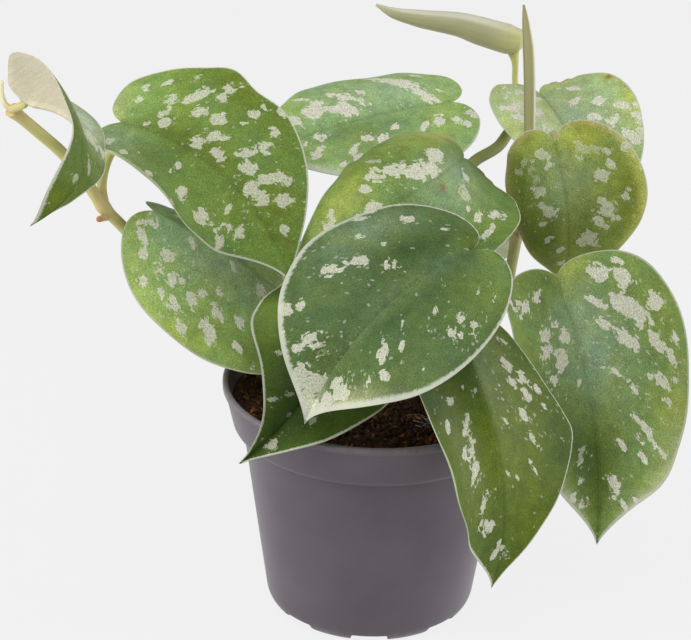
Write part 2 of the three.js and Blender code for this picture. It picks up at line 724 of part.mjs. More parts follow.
const plant = new THREE.Group();
plant.name = 'satin_pothos';
plant.add(piece('pot', potGeometry(), FINISH.pot));
plant.add(piece('soil', soilGeometry(), FINISH.soil));
for (const [name, vine] of Object.entries(VINES)) plant.add(piece(name, vineGeometry(vine), FINISH.stem));
for (const [name, leaf] of Object.entries(LEAVES)) plant.add(bladePiece(name, leaf));
for (const [name, leaf] of Object.entries(NEW_LEAVES)) plant.add(piece(name, rolledGeometry(leaf), leaf));

export default plant;
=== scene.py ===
"""Satin pothos in its nursery pot: the looks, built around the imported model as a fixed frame.

Sizes are in millimetres and turned to metres where a mesh is filled. +Z is up and the front of
the plant faces -Y. Each CAD node is replaced by a finer piece of the same form: blades with a
grooved midrib and a round edge, stems with knots, a moulded pot and a crumbly soil.
"""

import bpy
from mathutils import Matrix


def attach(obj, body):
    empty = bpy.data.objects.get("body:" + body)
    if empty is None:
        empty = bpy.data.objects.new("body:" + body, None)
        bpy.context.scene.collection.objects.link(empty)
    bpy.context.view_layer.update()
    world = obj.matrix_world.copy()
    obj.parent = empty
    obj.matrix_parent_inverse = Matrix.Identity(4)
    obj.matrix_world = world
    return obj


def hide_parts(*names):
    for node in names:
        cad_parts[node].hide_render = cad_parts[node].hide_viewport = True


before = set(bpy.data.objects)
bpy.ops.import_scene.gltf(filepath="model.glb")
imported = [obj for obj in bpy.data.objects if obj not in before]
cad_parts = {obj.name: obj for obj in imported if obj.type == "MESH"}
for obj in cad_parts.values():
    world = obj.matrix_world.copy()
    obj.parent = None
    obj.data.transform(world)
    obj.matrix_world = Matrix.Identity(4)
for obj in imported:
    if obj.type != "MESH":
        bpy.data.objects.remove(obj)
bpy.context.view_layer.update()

import logging
from dataclasses import dataclass
from enum import Enum
from functools import partial
from typing import Callable, Iterable

import bpy
import numpy as np
from mathutils import Matrix, Vector

LOG = logging.getLogger("pothos")
MM = 0.001
BODY = "root"
BLEND = {"data_type": "RGBA", "want": 2}  # a Mix node that mixes the colours at inputs 6 and 7

Array = np.ndarray
Point = tuple[float, float, float]
Piece = bpy.types.Object
Skin = bpy.types.Material
Socket = bpy.types.NodeSocket
Add = Callable[..., Socket]  # add_node for one tree


# Colours, nodes and meshes


def linear(colour: str) -> tuple[float, ...]:
    """Turn an sRGB hex colour into linear light.

    Args:
        colour: Six hex digits after a #.

    Returns:
        Red, green and blue, and an alpha of 1.
    """
    srgb = np.array([int(colour[i : i + 2], 16) for i in (1, 3, 5)]) / 255
    light = np.where(srgb <= 0.04045, srgb / 12.92, ((srgb + 0.055) / 1.055) ** 2.4)
    return (*light.tolist(), 1.0)


def add_node(
    tree: bpy.types.NodeTree, kind: str, inputs: tuple | dict = (), want: int | str = 0, **settings: object
) -> Socket | None:
    """Add a node with its settings, values and links.

    Args:
        tree: The material's node tree.
        kind: The node's class name after "ShaderNode".
        inputs: Values, or sockets that feed them, in the order of the node's inputs or by key.
        want: The output to hand back.
        **settings: Properties of the node.

    Returns:
        That output, or nothing where the node has none.
    """
    node = tree.nodes.new("ShaderNode" + kind)
    for key, value in settings.items():
        setattr(node, key, value)
    for key, value in inputs.items() if isinstance(inputs, dict) else enumerate(inputs):
        if isinstance(value, Socket):
            tree.links.new(value, node.inputs[key])
        else:
            node.inputs[key].default_value = value
    return node.outputs[want] if len(node.outputs) else None


def make_piece(name: str, points: Array, faces: Iterable[Array], *skins: Skin) -> Piece:
    """Fill a smooth-shaded mesh object that sits at the origin.

    Args:
        name: The piece's name.
        points: (n, 3) places in mm.
        faces: Arrays of vertex numbers, one row a face, with 3 or 4 columns each.
        *skins: Its materials.

    Returns:
        The object, linked to the scene.
    """
    groups = [np.asarray(group, np.int32) for group in faces]
    sizes = np.concatenate([np.full(len(group), group.shape[1], np.int32) for group in groups])
    corners = np.concatenate([group.ravel() for group in groups])
    mesh = bpy.data.meshes.new(name)
    mesh.vertices.add(len(points))
    mesh.vertices.foreach_set("co", (np.asarray(points) * MM).astype(np.float32).ravel())
    mesh.loops.add(len(corners))
    mesh.loops.foreach_set("vertex_index", corners)
    mesh.polygons.add(len(sizes))
    starts = np.concatenate([[0], np.cumsum(sizes)[:-1]])
    mesh.polygons.foreach_set("loop_start", starts.astype(np.int32))
    mesh.update(calc_edges=True)
    mesh.validate()
    mesh.shade_smooth()
    for skin in skins:
        mesh.materials.append(skin)
    piece = bpy.data.objects.new(name, mesh)
    bpy.context.scene.collection.objects.link(piece)
    return piece


def write_attribute(piece: Piece, name: str, values: Array) -> None:
    """Store one number, vector or colour for each vertex.

    Args:
        piece: The object.
        name: The attribute's name, which a finish reads.
        values: (n,) numbers, (n, 3) vectors or (n, 4) linear colours.
    """
    columns = 1 if values.ndim == 1 else values.shape[1]
    kinds = {1: ("FLOAT", "value"), 3: ("FLOAT_VECTOR", "vector"), 4: ("FLOAT_COLOR", "color")}
    kind, key = kinds[columns]
    attribute = piece.data.attributes.new(name, kind, "POINT")
    attribute.data.foreach_set(key, values.astype(np.float32).ravel())


def dress(piece: Piece, node: str | None = None) -> Piece:
    """Make a piece ride on the plant's body, and let it stand for a CAD node.

    Args:
        piece: The finished object.
        node: The CAD node that it replaces, if any.

    Returns:
        The same object.
    """
    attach(piece, BODY)
    if node:
        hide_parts(node)
    LOG.info("%s: %d faces", piece.name, len(piece.data.polygons))
    return piece


def grid_quads(rows: int, columns: int, wrap: bool = False) -> Array:
    """Number the quads of a grid of vertices that are stored row by row.

    Args:
        rows: Rows of vertices.
        columns: Vertices in a row.
        wrap: Whether the last column joins the first.

    Returns:
        (n, 4) numbers, anticlockwise where rows go up and columns go left.
    """
    across = columns if wrap else columns - 1
    row, column = np.meshgrid(np.arange(rows - 1), np.arange(across), indexing="ij")
    here, beside = row * columns + column, row * columns + (column + 1) % columns
    return np.stack([here, beside, beside + columns, here + columns], -1).reshape(-1, 4)


def ring_faces(rows: int, sides: int) -> list[Array]:
    """Number the faces of a stack of rings that a fan closes at each end.

    Args:
        rows: Rings.
        sides: Vertices in a ring.

    Returns:
        Quads, then the fans to the two poles, whose vertices follow those of the rings.
    """
    ring, pole = np.arange(sides), np.full(sides, rows * sides)
    after, top = (ring + 1) % sides, (rows - 1) * sides
    fans = [np.stack([pole, after, ring], -1), np.stack([pole + 1, top + ring, top + after], -1)]
    return [grid_quads(rows, sides, wrap=True), *fans]


def unit(vectors: Array) -> Array:
    """Scale vectors along the last axis to length 1."""
    return vectors / np.maximum(np.linalg.norm(vectors, axis=-1, keepdims=True), 1e-12)


def bell(offset: Array) -> Array:
    """A bell curve: 1 at no offset, falling as exp(-offset squared)."""
    return np.exp(-(offset**2))


def smooth_step(low: float, high: float, value: Array) -> Array:
    """Rise smoothly from 0 at low to 1 at high."""
    share = np.clip((value - low) / (high - low), 0, 1)
    return share * share * (3 - 2 * share)


def blend(under: Array, over: str, share: Array) -> Array:
    """Lay a share of a hex colour over linear colours."""
    return under * (1 - share) + np.array(linear(over)) * share


def turns(count: int) -> Array:
    """Angles that share out a full turn evenly."""
    return np.linspace(0, 2 * np.pi, count, endpoint=False)


# Paths and tubes


def smooth_path(points: Iterable[Point], step: float) -> Array:
    """Centripetal Catmull-Rom curve through a list of points.

    Each stretch is the cubic whose slopes at its ends come from its neighbours, with the square
    root of the distance between points as the parameter. Past each end the list is continued by
    mirroring its last stretch.

    Args:
        points: At least two points in mm.
        step: Distance between samples.

    Returns:
        (n, 3) samples from the first point to the last.
    """
    given = np.array(list(points), float)
    knots = np.vstack([2 * given[0] - given[1], given, 2 * given[-1] - given[-2]])
    stretches = []
    for p0, p1, p2, p3 in zip(knots, knots[1:], knots[2:], knots[3:]):
        pairs = (p0, p1), (p1, p2), (p2, p3)
        d0, d1, d2 = (max(np.linalg.norm(b - a), 1e-4) ** 0.5 for a, b in pairs)
        leave = ((p1 - p0) / d0 - (p2 - p0) / (d0 + d1) + (p2 - p1) / d1) * d1
        arrive = ((p2 - p1) / d1 - (p3 - p1) / (d1 + d2) + (p3 - p2) / d2) * d1
        count = max(2, int(np.ceil(np.linalg.norm(p2 - p1) / step)))
        t = (np.arange(count) / count)[:, None]
        cubic, square = 2 * p1 - 2 * p2 + leave + arrive, 3 * p2 - 3 * p1 - 2 * leave - arrive
        stretches.append(cubic * t**3 + square * t**2 + leave * t + p1)
    return np.vstack([*stretches, given[-1:]])


def path_lengths(path: Array) -> Array:
    """Distance along a path from its start to each sample."""
    return np.concatenate([[0], np.cumsum(np.linalg.norm(np.diff(path, axis=0), axis=1))])


def swept_tube(path: Array, radii: Array, sides: int) -> tuple[Array, list[Array]]:
    """Carry a circle along a path: centre + radius (cos a * side + sin a * other).

    The two sideways directions are taken from the one that the path leans toward least, which
    is the last right-singular vector of its directions.

    Args:
        path: (n, 3) samples.
        radii: (n,) radii in mm.
        sides: Vertices round the tube.

    Returns:
        Vertices, and faces that close the tube.
    """
    along = unit(np.gradient(path, axis=0))
    side = unit(np.cross(along, np.linalg.svd(along, full_matrices=False)[2][-1]))
    other, angle = np.cross(along, side), turns(sides)[None, :, None]
    circle = np.cos(angle) * side[:, None] + np.sin(angle) * other[:, None]
    rings = path[:, None] + radii[:, None, None] * circle
    return np.vstack([rings.reshape(-1, 3), path[:1], path[-1:]]), ring_faces(len(path), sides)


def merge_parts(parts: Iterable[tuple[Array, list[Array]]]) -> tuple[Array, list[Array]]:
    """Put several closed shells in one list of vertices and faces.

    Args:
        parts: Vertices and faces of each shell.

    Returns:
        All vertices and all faces, renumbered.
    """
    points, faces, start = [], [], 0
    for own_points, own_faces in parts:
        points.append(own_points)
        faces.extend(group + start for group in own_faces)
        start += len(own_points)
    return np.vstack(points), faces


# Finishes: MapRange takes a value, the two ends that it is read between and the two that it is led
# to; MULTIPLY_ADD takes a value, its factor and what is added.


class Tone(Enum):
    """Named colours that the blades are washed with: leaf colours, a grey-green that is painted sheen, and
    a deep green that some washes lay on as painted shade.
    """

    FRESH = "#86a04c"
    LEMON = "#a8b25a"
    OLIVE = "#57691c"
    # deep green; some of its washes, on the blades' tucked-in, low and downward-facing parts, are painted
    # shade
    DEEP = "#354a1e"
    # painted sheen: a grey-green that stands in for the soft reflection of the light on the satin skin
    SHEEN = "#90a588"
    CREAM = "#cfd2b0"
    TAN = "#ab9c6a"
    BROWN = "#855a2c"


FRESH, LEMON, OLIVE, DEEP, SHEEN, CREAM, TAN, BROWN = Tone


class Finish:
    """A finish: its fields hold its colours and sizes, and `surface` draws them."""

    name: str
    roughness: float
    relief: float  # m, height of the grain

    def surface(self, add: Add) -> Socket:
        """Draw the finish; add adds a node, and the shader's output is handed back."""
        raise NotImplementedError

    def make(self) -> Skin:
        """Build the material.

        Returns:
            The material, with the finish led to its output.
        """
        material = bpy.data.materials.new(self.name)
        material.use_nodes = True
        material.node_tree.nodes.clear()
        add = partial(add_node, material.node_tree)
        add("OutputMaterial", {"Surface": self.surface(add)})
        return material

    def coat(self, add: Add, colour: Socket, height: Socket, sockets: dict[str, float]) -> Socket:
        """Lead colour and relief into the surface shader.

        Args:
            add: Adds a node.
            colour: Colour all over.
            height: Height of the grain, 0 to 1.
            sockets: The shader's constant values.

        Returns:
            The shader's output.
        """
        bump = add("Bump", {"Height": height, "Distance": self.relief, "Strength": 1.0})
        given = {"Base Color": colour, "Roughness": self.roughness, "Normal": bump}
        return add("BsdfPrincipled", given | sockets)


def noise(place: Socket, size: float, detail: float) -> dict[str, Socket | float]:
    """Inputs of a noise on Object coordinates that repeats about every size in mm."""
    return {"Vector": place, "Scale": 1 / (size * MM), "Detail": detail}


def drawn_out(add: Add, place: Socket, gap: float, stretch: float) -> Socket:
    """Scale a place in mm so that a pattern of size 1 is drawn out along its second direction.

    Args:
        add: Adds a node.
        place: The place.
        gap: Size of the pattern across, in mm.
        stretch: Its size across over its size along.

    Returns:
        The scaled place.
    """
    return add("VectorMath", (place, (1 / gap, stretch / gap, 1.0)), operation="MULTIPLY")


@dataclass(frozen=True)
class SatinFace(Finish):
    """Upper skin of a grown blade.

    The real skin is a waxy leaf surface over green tissue, with pockets of air under it that
    scatter the light: to the eye it is soft and matte, with angular silver patches that sweep
    outward along the side veins, and a thin pale margin.
    """

    name: str = "satin_leaf_upper_skin"
    silver: str = "#c6c6b4"
    margin: str = "#b8bbac"
    pocket: float = 1.9  # mm, breadth of one silver pocket across the veins
    pocket_stretch: float = 0.76
    pocket_weight: float = 0.5  # how far a pocket's own chance raises the silver
    wander: Point = (2.6, 3.2, 0.0)  # mm that the pockets are pushed about
    wander_pitch: float = 0.4  # waves of that push in a mm
    raggedness: float = 0.22
    patch_edge: tuple[float, float] = (0.92, 0.985)  # silver where a patch starts and is full
    speck: float = 0.95  # mm between the smallest dots
    speck_stretch: float = 0.6
    speck_reach: tuple[float, float] = (0.55, 0.25)  # shares of that gap where a dot ends and is full
    speck_pick: tuple[float, float] = (0.96, 1.0)  # chance where a dot starts to show and is full
    speck_weight: float = 0.34  # how far the silver raises that chance
    speck_cover: float = 0.6
    streak: float = 0.7  # mm between the fine lines that follow the veins
    streak_stretch: float = 0.3
    rim_edge: tuple[float, float] = (1.85, 1.3)  # frayed rim where the margin ends and is full
    rim_fray: float = 1.3
    rim_cover: float = 0.85
    grain: float = 0.42  # mm, the grain of the skin
    mottle: float = 5.0  # mm between small clouds of green
    drift: float = 16.0  # mm between sallow and cooler places
    sallow: Point = (1.1, 1.04, 0.84)
    cooler: Point = (0.92, 0.97, 1.08)
    roughness: float = 0.5
    relief: float = 0.00005

    def surface(self, add: Add) -> Socket:
        """Draw silver and margin over streaked and clouded green.

        Args:
            add: Adds a node.

        Returns:
            The shader, which reads the attributes tone, silver, cover, rim and vein.
        """
        names = "silver", "cover", "rim"
        silver, cover, rim = (add("Attribute", want="Fac", attribute_name=name) for name in names)
        tone = add("Attribute", want="Color", attribute_name="tone")
        vein = add("Attribute", want="Vector", attribute_name="vein")
        place = add("TexCoord", want="Object")
        sizes = (self.grain, 1.0), (self.mottle, 5.0), (self.drift, 3.0)  # mm and detail
        grain, mottle, broad = (add("TexNoise", noise(place, *size)) for size in sizes)
        line_place = drawn_out(add, vein, self.streak, self.streak_stretch)
        streak = add("TexNoise", {"Vector": line_place, "Scale": 1.0, "Detail": 3.0})

        waves = {"Vector": vein, "Scale": self.wander_pitch, "Detail": 2.0}
        wobble = add("TexNoise", waves, "Color")
        centred = add("VectorMath", (wobble, (0.5, 0.5, 0.5)), operation="SUBTRACT")
        pushed = add("VectorMath", (centred, self.wander, vein), operation="MULTIPLY_ADD")
        patterns = (self.pocket, self.pocket_stretch), (self.speck, self.speck_stretch)
        pockets, specks = (
            add("TexVoronoi", {"Vector": drawn_out(add, pushed, *size), "Scale": 1.0}, "Color")
            for size in patterns
        )
        pick = add("SeparateColor", (pockets,))
        raised = add("Math", (pick, self.pocket_weight, silver), operation="MULTIPLY_ADD")
        ragged = add("Math", (streak, self.raggedness, raised), operation="MULTIPLY_ADD")
        patch = add("MapRange", (ragged, *self.patch_edge), interpolation_type="SMOOTHSTEP")

        chance = add("SeparateColor", (specks,), 1)
        biased = add("Math", (silver, self.speck_weight, chance), operation="MULTIPLY_ADD")
        dot = add("MapRange", (specks.node.outputs["Distance"], *self.speck_reach))
        for factor in (add("MapRange", (biased, *self.speck_pick)), self.speck_cover):
            dot = add("Math", (dot, factor), operation="MULTIPLY")
        share = add("Math", (patch, dot), operation="MAXIMUM")
        for factor in (cover, add("MapRange", (grain, 0.3, 0.6, 0.88, 1.0))):
            share = add("Math", (share, factor), operation="MULTIPLY")

        lines = add("MapRange", (streak, 0.25, 0.75, 0.93, 1.07))
        grained = add("MapRange", (grain, 0.3, 0.7, 0.66, 1.34))
        clouds = add("MapRange", (mottle, 0.3, 0.7, 0.84, 1.16))
        fine = add("Math", (lines, grained), operation="MULTIPLY")
        shade = add("Math", (fine, clouds), operation="MULTIPLY")
        cool, warm = (
            add("VectorMath", (tone, tint), operation="MULTIPLY") for tint in (self.cooler, self.sallow)
        )
        turn = add("MapRange", (broad, 0.35, 0.65))
        varied = add("Mix", {0: turn, 6: cool, 7: warm}, **BLEND)
        green = add("VectorMath", {0: varied, 3: shade}, operation="SCALE")
        dulled = add("VectorMath", {0: linear(self.silver)[:3], 3: fine}, operation="SCALE")
        silvered = add("Mix", {0: share, 6: green, 7: dulled}, **BLEND)
        frayed = add("Math", (streak, self.rim_fray, rim), operation="MULTIPLY_ADD")
        margin = add("MapRange", (frayed, *self.rim_edge, 0.0, self.rim_cover))
        colour = add("Mix", {0: margin, 6: silvered, 7: linear(self.margin)}, **BLEND)
        satin = {"IOR": 1.4, "Specular IOR Level": 0.18, "Sheen Weight": 0.03, "Sheen Roughness": 0.5}
        return self.coat(add, colour, grain, satin)


@dataclass(frozen=True)
class PaleFace(Finish):
    """Under skin of a blade: no silver, a dull pale green or cream beside the upper skin."""

    name: str = "pale_leaf_under_skin"
    streak: float = 1.4  # mm between the faint side veins
    streak_stretch: float = 0.08
    grain: float = 0.8  # mm
    roughness: float = 0.55
    relief: float = 0.0001

    def surface(self, add: Add) -> Socket:
        """Shade the under tone with veins and grain.

        Args:
            add: Adds a node.

        Returns:
            The shader, which reads the attributes under and vein.
        """
        under = add("Attribute", want="Color", attribute_name="under")
        vein = add("Attribute", want="Vector", attribute_name="vein")
        line_place = drawn_out(add, vein, self.streak, self.streak_stretch)
        streak = add("TexNoise", {"Vector": line_place, "Scale": 1.0, "Detail": 3.0})
        grain = add("TexNoise", noise(add("TexCoord", want="Object"), self.grain, 2.0))
        both = add("Math", (streak, grain), operation="MULTIPLY")
        shade = add("MapRange", (both, 0.15, 0.4, 0.88, 1.1))
        colour = add("VectorMath", {0: under, 3: shade}, operation="SCALE")
        dull = {"IOR": 1.4, "Sheen Weight": 0.1, "Sheen Roughness": 0.5}
        return self.coat(add, colour, streak, dull)


@dataclass(frozen=True)
class TonedSkin(Finish):
    """Skin of a stem or of a leaf still rolled up: thin, slightly glossy wax over streaky green."""

    name: str
    streak: float = 0.5  # mm between the lines that run lengthwise
    streak_stretch: float = 0.07
    streak_depth: float = 0.12
    roughness: float = 0.5
    relief: float = 0.00005

    def surface(self, add: Add) -> Socket:
        """Streak the tone lengthwise.

        Args:
            add: Adds a node.

        Returns:
            The shader, which reads the attributes tone and run.
        """
        tone = add("Attribute", want="Color", attribute_name="tone")
        run = add("Attribute", want="Vector", attribute_name="run")
        line_place = drawn_out(add, run, self.streak, self.streak_stretch)
        streak = add("TexNoise", {"Vector": line_place, "Scale": 1.0, "Detail": 3.0})
        depth = self.streak_depth
        shade = add("MapRange", (streak, 0.25, 0.75, 1 - depth, 1 + depth))
        colour = add("VectorMath", {0: tone, 3: shade}, operation="SCALE")
        wax = {"IOR": 1.42, "Specular IOR Level": 0.3, "Sheen Weight": 0.1, "Sheen Roughness": 0.5}
        return self.coat(add, colour, streak, wax)


@dataclass(frozen=True)
class MouldedPlastic(Finish):
    """Injection-moulded recycled polypropylene: an even, dull taupe with a faint eroded grain."""

    name: str = "moulded_polypropylene_taupe"
    colour: str = "#4c434c"
    flow: str = "#565058"
    dust: str = "#6e686d"
    grain: float = 0.45  # mm
    cloud: float = 28.0  # mm across the faint flow marks
    scuff: float = 3.5  # mm
    roughness: float = 0.36
    relief: float = 0.00004

    def surface(self, add: Add) -> Socket:
        """Draw flow marks, and dust where the pot is worn, with less of it under the rim band as painted
        shade.

        Args:
            add: Adds a node.

        Returns:
            The shader, which reads the wear attribute, whose dip under the rim band is painted shade.
        """
        place = add("TexCoord", want="Object")
        wear_and_band_shade = add("Attribute", want="Fac", attribute_name="wear_and_band_shade")
        grain = add("TexNoise", noise(place, self.grain, 2.0))
        cloud = add("TexNoise", noise(place, self.cloud, 4.0))
        scuff = add("TexNoise", noise(place, self.scuff, 6.0) | {"Roughness": 0.7})
        flow = add("MapRange", (cloud, 0.35, 0.65, 0.0, 0.6))
        base = add("Mix", {0: flow, 6: linear(self.colour), 7: linear(self.flow)}, **BLEND)
        # fewer dust-coloured scuffs under the rim band: painted shade
        rubbed_and_band_shade = add("Math", (scuff, wear_and_band_shade), operation="MULTIPLY")
        dust_and_band_shade = add("MapRange", (rubbed_and_band_shade, 0.2, 0.6, 0.0, 0.8))
        colour = add("Mix", {0: dust_and_band_shade, 6: base, 7: linear(self.dust)}, **BLEND)
        return self.coat(add, colour, grain, {"IOR": 1.49})


@dataclass(frozen=True)
class Peat(Finish):
    """Milled peat with bark fines: dead matte, near black where damp, with rusty and straw bits."""

    name: str
    dark: str = "#1d1411"
    brown: str = "#4b2f21"
    bright: str = "#a5683a"
    bit: float = 1.6  # mm across one bit
    bright_share: float = 0.19
    crumb: float = 0.5  # mm
    roughness: float = 0.95
    relief: float = 0.0006

    def surface(self, add: Add) -> Socket:
        """Give each bit a brown of its own, and a few of them a bright one.

        Args:
            add: Adds a node.

        Returns:
            The shader.
        """
        place = add("TexCoord", want="Object")
        bits = add("TexVoronoi", {"Vector": place, "Scale": 1 / (self.bit * MM)}, "Color")
        pick = add("SeparateColor", (bits,))
        fine = add("TexNoise", noise(place, self.crumb, 4.0))
        dark = add("Mix", {0: pick, 6: linear(self.dark), 7: linear(self.brown)}, **BLEND)
        some = add("MapRange", (pick.node.outputs[1], 1 - self.bright_share, 1.0, 0.0, 0.9))
        bright = add("Mix", {0: some, 6: dark, 7: linear(self.bright)}, **BLEND)
        shade = add("MapRange", (fine, 0.3, 0.7, 0.5, 1.4))
        colour = add("VectorMath", {0: bright, 3: shade}, operation="SCALE")
        return self.coat(add, colour, fine, {"Specular IOR Level": 0.25})


@dataclass(frozen=True)
class StudioPaper(Finish):
    """Pale seamless sheet lit from below, as on a light table: flat, even, nearly shadowless."""

    name: str = "light_table_sheet"
    colour: str = "#f0f0f0"
    unlit: str = "#3c3c3c"
    glow: float = 0.96  # share of its brightness that comes from below

    def surface(self, add: Add) -> Socket:
        """Make it glow, with a trace of fibre in it.

        Args:
            add: Adds a node.

        Returns:
            The shader.
        """
        place = add("TexCoord", want="Object")
        fibre = add("TexNoise", {"Vector": place, "Scale": 60.0, "Detail": 2.0})
        shade = add("MapRange", (fibre, 0.0, 1.0, 0.995, 1.005))
        colour = add("VectorMath", {0: linear(self.colour)[:3], 3: shade}, operation="SCALE")
        matte = {"Base Color": linear(self.unlit), "Roughness": 1.0, "Specular IOR Level": 0.0}
        light = {"Emission Color": colour, "Emission Strength": self.glow}
        return add("BsdfPrincipled", matte | light)


# Blades


@dataclass(frozen=True)
class Turn:
    """Direction of a blade's middle, in degrees: heading round Z, pitch up, roll about itself."""

    heading: float
    pitch: float
    roll: float

    def matrix(self) -> Array:
        """The turn as a 3 x 3 matrix: Rz(heading) Ry(-pitch) Rx(roll)."""
        whole = np.eye(3)
        for angle, axis in ((self.heading, "Z"), (-self.pitch, "Y"), (self.roll, "X")):
            whole = whole @ np.array(Matrix.Rotation(np.radians(angle), 3, axis))
        return whole


@dataclass(frozen=True)
class Outline:
    """Flat outline of a blade in mm: length, half widths, where it is widest, and lobe reach."""

    length: float
    left: float
    right: float
    widest: float
    lobe: float


@dataclass(frozen=True)
class Bending:
    """How a flat blade is bent, in degrees."""

    bend: float  # droop of the midrib from base to tip
    sweep: float  # sideways turn of the midrib
    twist: float  # roll from base to tip
    fold: float  # rise of both halves from the midrib
    fold_gain: float  # how much the fold grows from base to tip
    curl_left: float  # roll of the left half over its width
    curl_right: float


@dataclass(frozen=True)
class Nick:
    """A bite out of a margin, or a swelling where its depth is negative.

    side is 1 for left and -1 for right; along and spread are vein shares; depth is in mm.
    """

    side: int
    along: float
    spread: float
    depth: float


@dataclass(frozen=True)
class Wash:
    """A soft wash of another tone, centred at a vein share and a share of the way out. Washes of the
    grey-green are painted sheen, and some deep and olive washes are painted shade where a blade lies in
    shade.
    """

    tone: Tone
    along: float
    out: float  # left is positive
    reach_along: float
    reach_out: float
    strength: float


@dataclass(frozen=True)
class Patch:
    """A silver patch: its vein share, its share of the way out (left is positive), and mm sizes."""

    vein: float
    out: float
    long: float
    wide: float
    cover: float = 1.0  # below 1 the green shows through


def each(kind: type, *rows: tuple) -> tuple:
    """Make one of a kind of each row of its values."""
    return tuple(kind(*row) for row in rows)


Widths = tuple[tuple[float, float], ...]
THIN_MARGIN: Widths = ((0, 0.35), (1, 0.5))


@dataclass
class Blade:
    """One grown blade, with its stalk end at `at`."""

    node: str
    at: Point
    turn: Turn
    outline: Outline
    bending: Bending
    tone: str
    nicks: tuple[Nick, ...] = ()
    washes: tuple[Wash, ...] = ()
    patches: tuple[Patch, ...] = ()
    dust: tuple[Patch, ...] = ()  # places with many fine specks
    left_margin: Widths = THIN_MARGIN  # vein share and mm of pale margin
    right_margin: Widths = THIN_MARGIN
    cover: float = 0.82  # how much of the green a patch hides
    under: str = "#a7b285"
    # painted shade in the midrib's groove: how much darker it is painted
    crease_shade: float = 0.16  # how much darker the midrib's groove is
    patch_scale: float = 1.0
    lean: float = 50.0  # degrees that the patches turn from square to the midrib toward the tip
    strays: tuple[int, int] = (30, 30)  # patches put down by chance on the left and right half
    seed: int = 1
    rows: int = 118
    columns: int = 34
    thickness: float = 0.5
    edge: float = 0.22  # mm, thickness at the margin
    rib_groove: float = 0.3
    rib_height: float = 0.75
    ripple: float = 0.35
    veins: int = 17
    vein_relief: float = 0.05

    # Power that crowds the side veins toward the stalk, and the handles of the margin's cubic
    # curves, as shares of the length or of the half width.
    VEIN_SWEEP = 1.6
    LOBE_SPREAD, SHOULDER, FLANK, TIP_REACH, TIP_SPREAD = 0.12, 0.36, 0.3, 0.17, 0.14
    LOBE_ROOM, RIB_SAMPLES = 0.35, 541  # share of the length that lobes may reach behind the stalk
    PATCH_BIAS, DUST_BIAS, STRAY_BIAS = 0.9, 0.36, 0.8  # how silver each is in its middle

    def margin_curve(self, side: Array, tau: Array) -> tuple[Array, Array]:
        """Flat margin: two cubic curves that meet where the blade is widest.

        Args:
            side: 1 for the left half, -1 for the right.
            tau: Vein share, 0 at the stalk and 1 at the tip.

        Returns:
            Distance along the midrib and distance out from it, both in mm.
        """
        shape, length = self.outline, self.outline.length
        middle = (shape.widest, 1)
        shoulder, flank = shape.widest - self.SHOULDER * length, shape.widest + self.FLANK * length
        lobe = (0, 0), (-shape.lobe, self.LOBE_SPREAD), (shoulder, 1), middle
        tip = middle, (flank, 1), ((1 - self.TIP_REACH) * length, self.TIP_SPREAD), (length, 0)
        t = np.where(tau < 0.5, 2 * tau, 2 * tau - 1)
        weights = (1 - t) ** 3, 3 * t * (1 - t) ** 2, 3 * t * t * (1 - t), t**3
        x, y = (
            sum(w * np.where(tau < 0.5, a[k], b[k]) for w, a, b in zip(weights, lobe, tip))
            for k in (0, 1)
        )
        return x, y * np.where(side > 0, shape.left, shape.right)

    def flat_point(self, side: Array, tau: Array, out: Array) -> tuple[Array, Array, Array]:
        """Flat place of a vein share and an outward share: (1 - out) of the vein's foot, out of its end.

        Args:
            side: 1 for the left half, -1 for the right.
            tau: Vein share.
            out: Share of the way from the midrib to the margin.

        Returns:
            Distance along, signed distance out, and the vein's whole length, in mm.
        """
        foot = self.outline.length * tau**self.VEIN_SWEEP
        x, y = self.margin_curve(side, tau)
        span, bite = np.hypot(x - foot, y), np.zeros_like(tau)
        for nick in self.nicks:
            own = nick.depth * bell((tau - nick.along) / nick.spread)
            bite = bite + np.where(side == nick.side, own, 0)
        share = out * (1 - bite / np.maximum(span, bite + 1))
        return foot + share * (x - foot), side * share * y, span

    def rib_frame(self, share: Array) -> tuple[Array, Array, Array]:
        """Directions at the midrib: droop, sweep and twist grow evenly from the blade's middle.

        Args:
            share: Distance from the middle over the length, -0.5 at the stalk and 0.5 at the tip.

        Returns:
            Unit vectors ahead, to the left and up, before the blade is turned.
        """
        share = np.maximum(share, -0.5)
        bends = -self.bending.bend, self.bending.sweep, self.bending.twist
        droop, sweep, twist = (np.radians(angle) * share for angle in bends)
        level = np.stack([np.cos(sweep), np.sin(sweep), np.zeros_like(sweep)], -1)
        ahead = np.cos(droop)[..., None] * level + np.sin(droop)[..., None] * np.array([0, 0, 1])
        across = np.stack([-np.sin(sweep), np.cos(sweep), np.zeros_like(sweep)], -1)
        up, twist = np.cross(ahead, across), twist[..., None]
        return (
            ahead,
            np.cos(twist) * across + np.sin(twist) * up,
            np.cos(twist) * up - np.sin(twist) * across,
        )

    def bent(self, x: Array, y: Array) -> tuple[Array, Array]:
        """Bend flat places: the midrib is summed from its directions, and each half rolls off it.

        A half rises from the midrib at the fold angle and its slope changes evenly with the
        distance out, so its section is a circular arc.

        Args:
            x: Distance along the midrib in mm.
            y: Signed distance out in mm, left positive.

        Returns:
            Places and unit normals of the upper face in the plant's frame.
        """
        shape, bending, length = self.outline, self.bending, self.outline.length
        run = np.linspace(-self.LOBE_ROOM, 1.0, self.RIB_SAMPLES) * length
        along = self.rib_frame(run / length - 0.5)[0]
        steps = (along[1:] + along[:-1]) / 2 * np.diff(run)[:, None]
        rib = np.vstack([np.zeros(3), np.cumsum(steps, axis=0)])
        rib = rib - [np.interp(0, run, column) for column in rib.T]
        centre = np.stack([np.interp(x, run, column) for column in rib.T], -1)

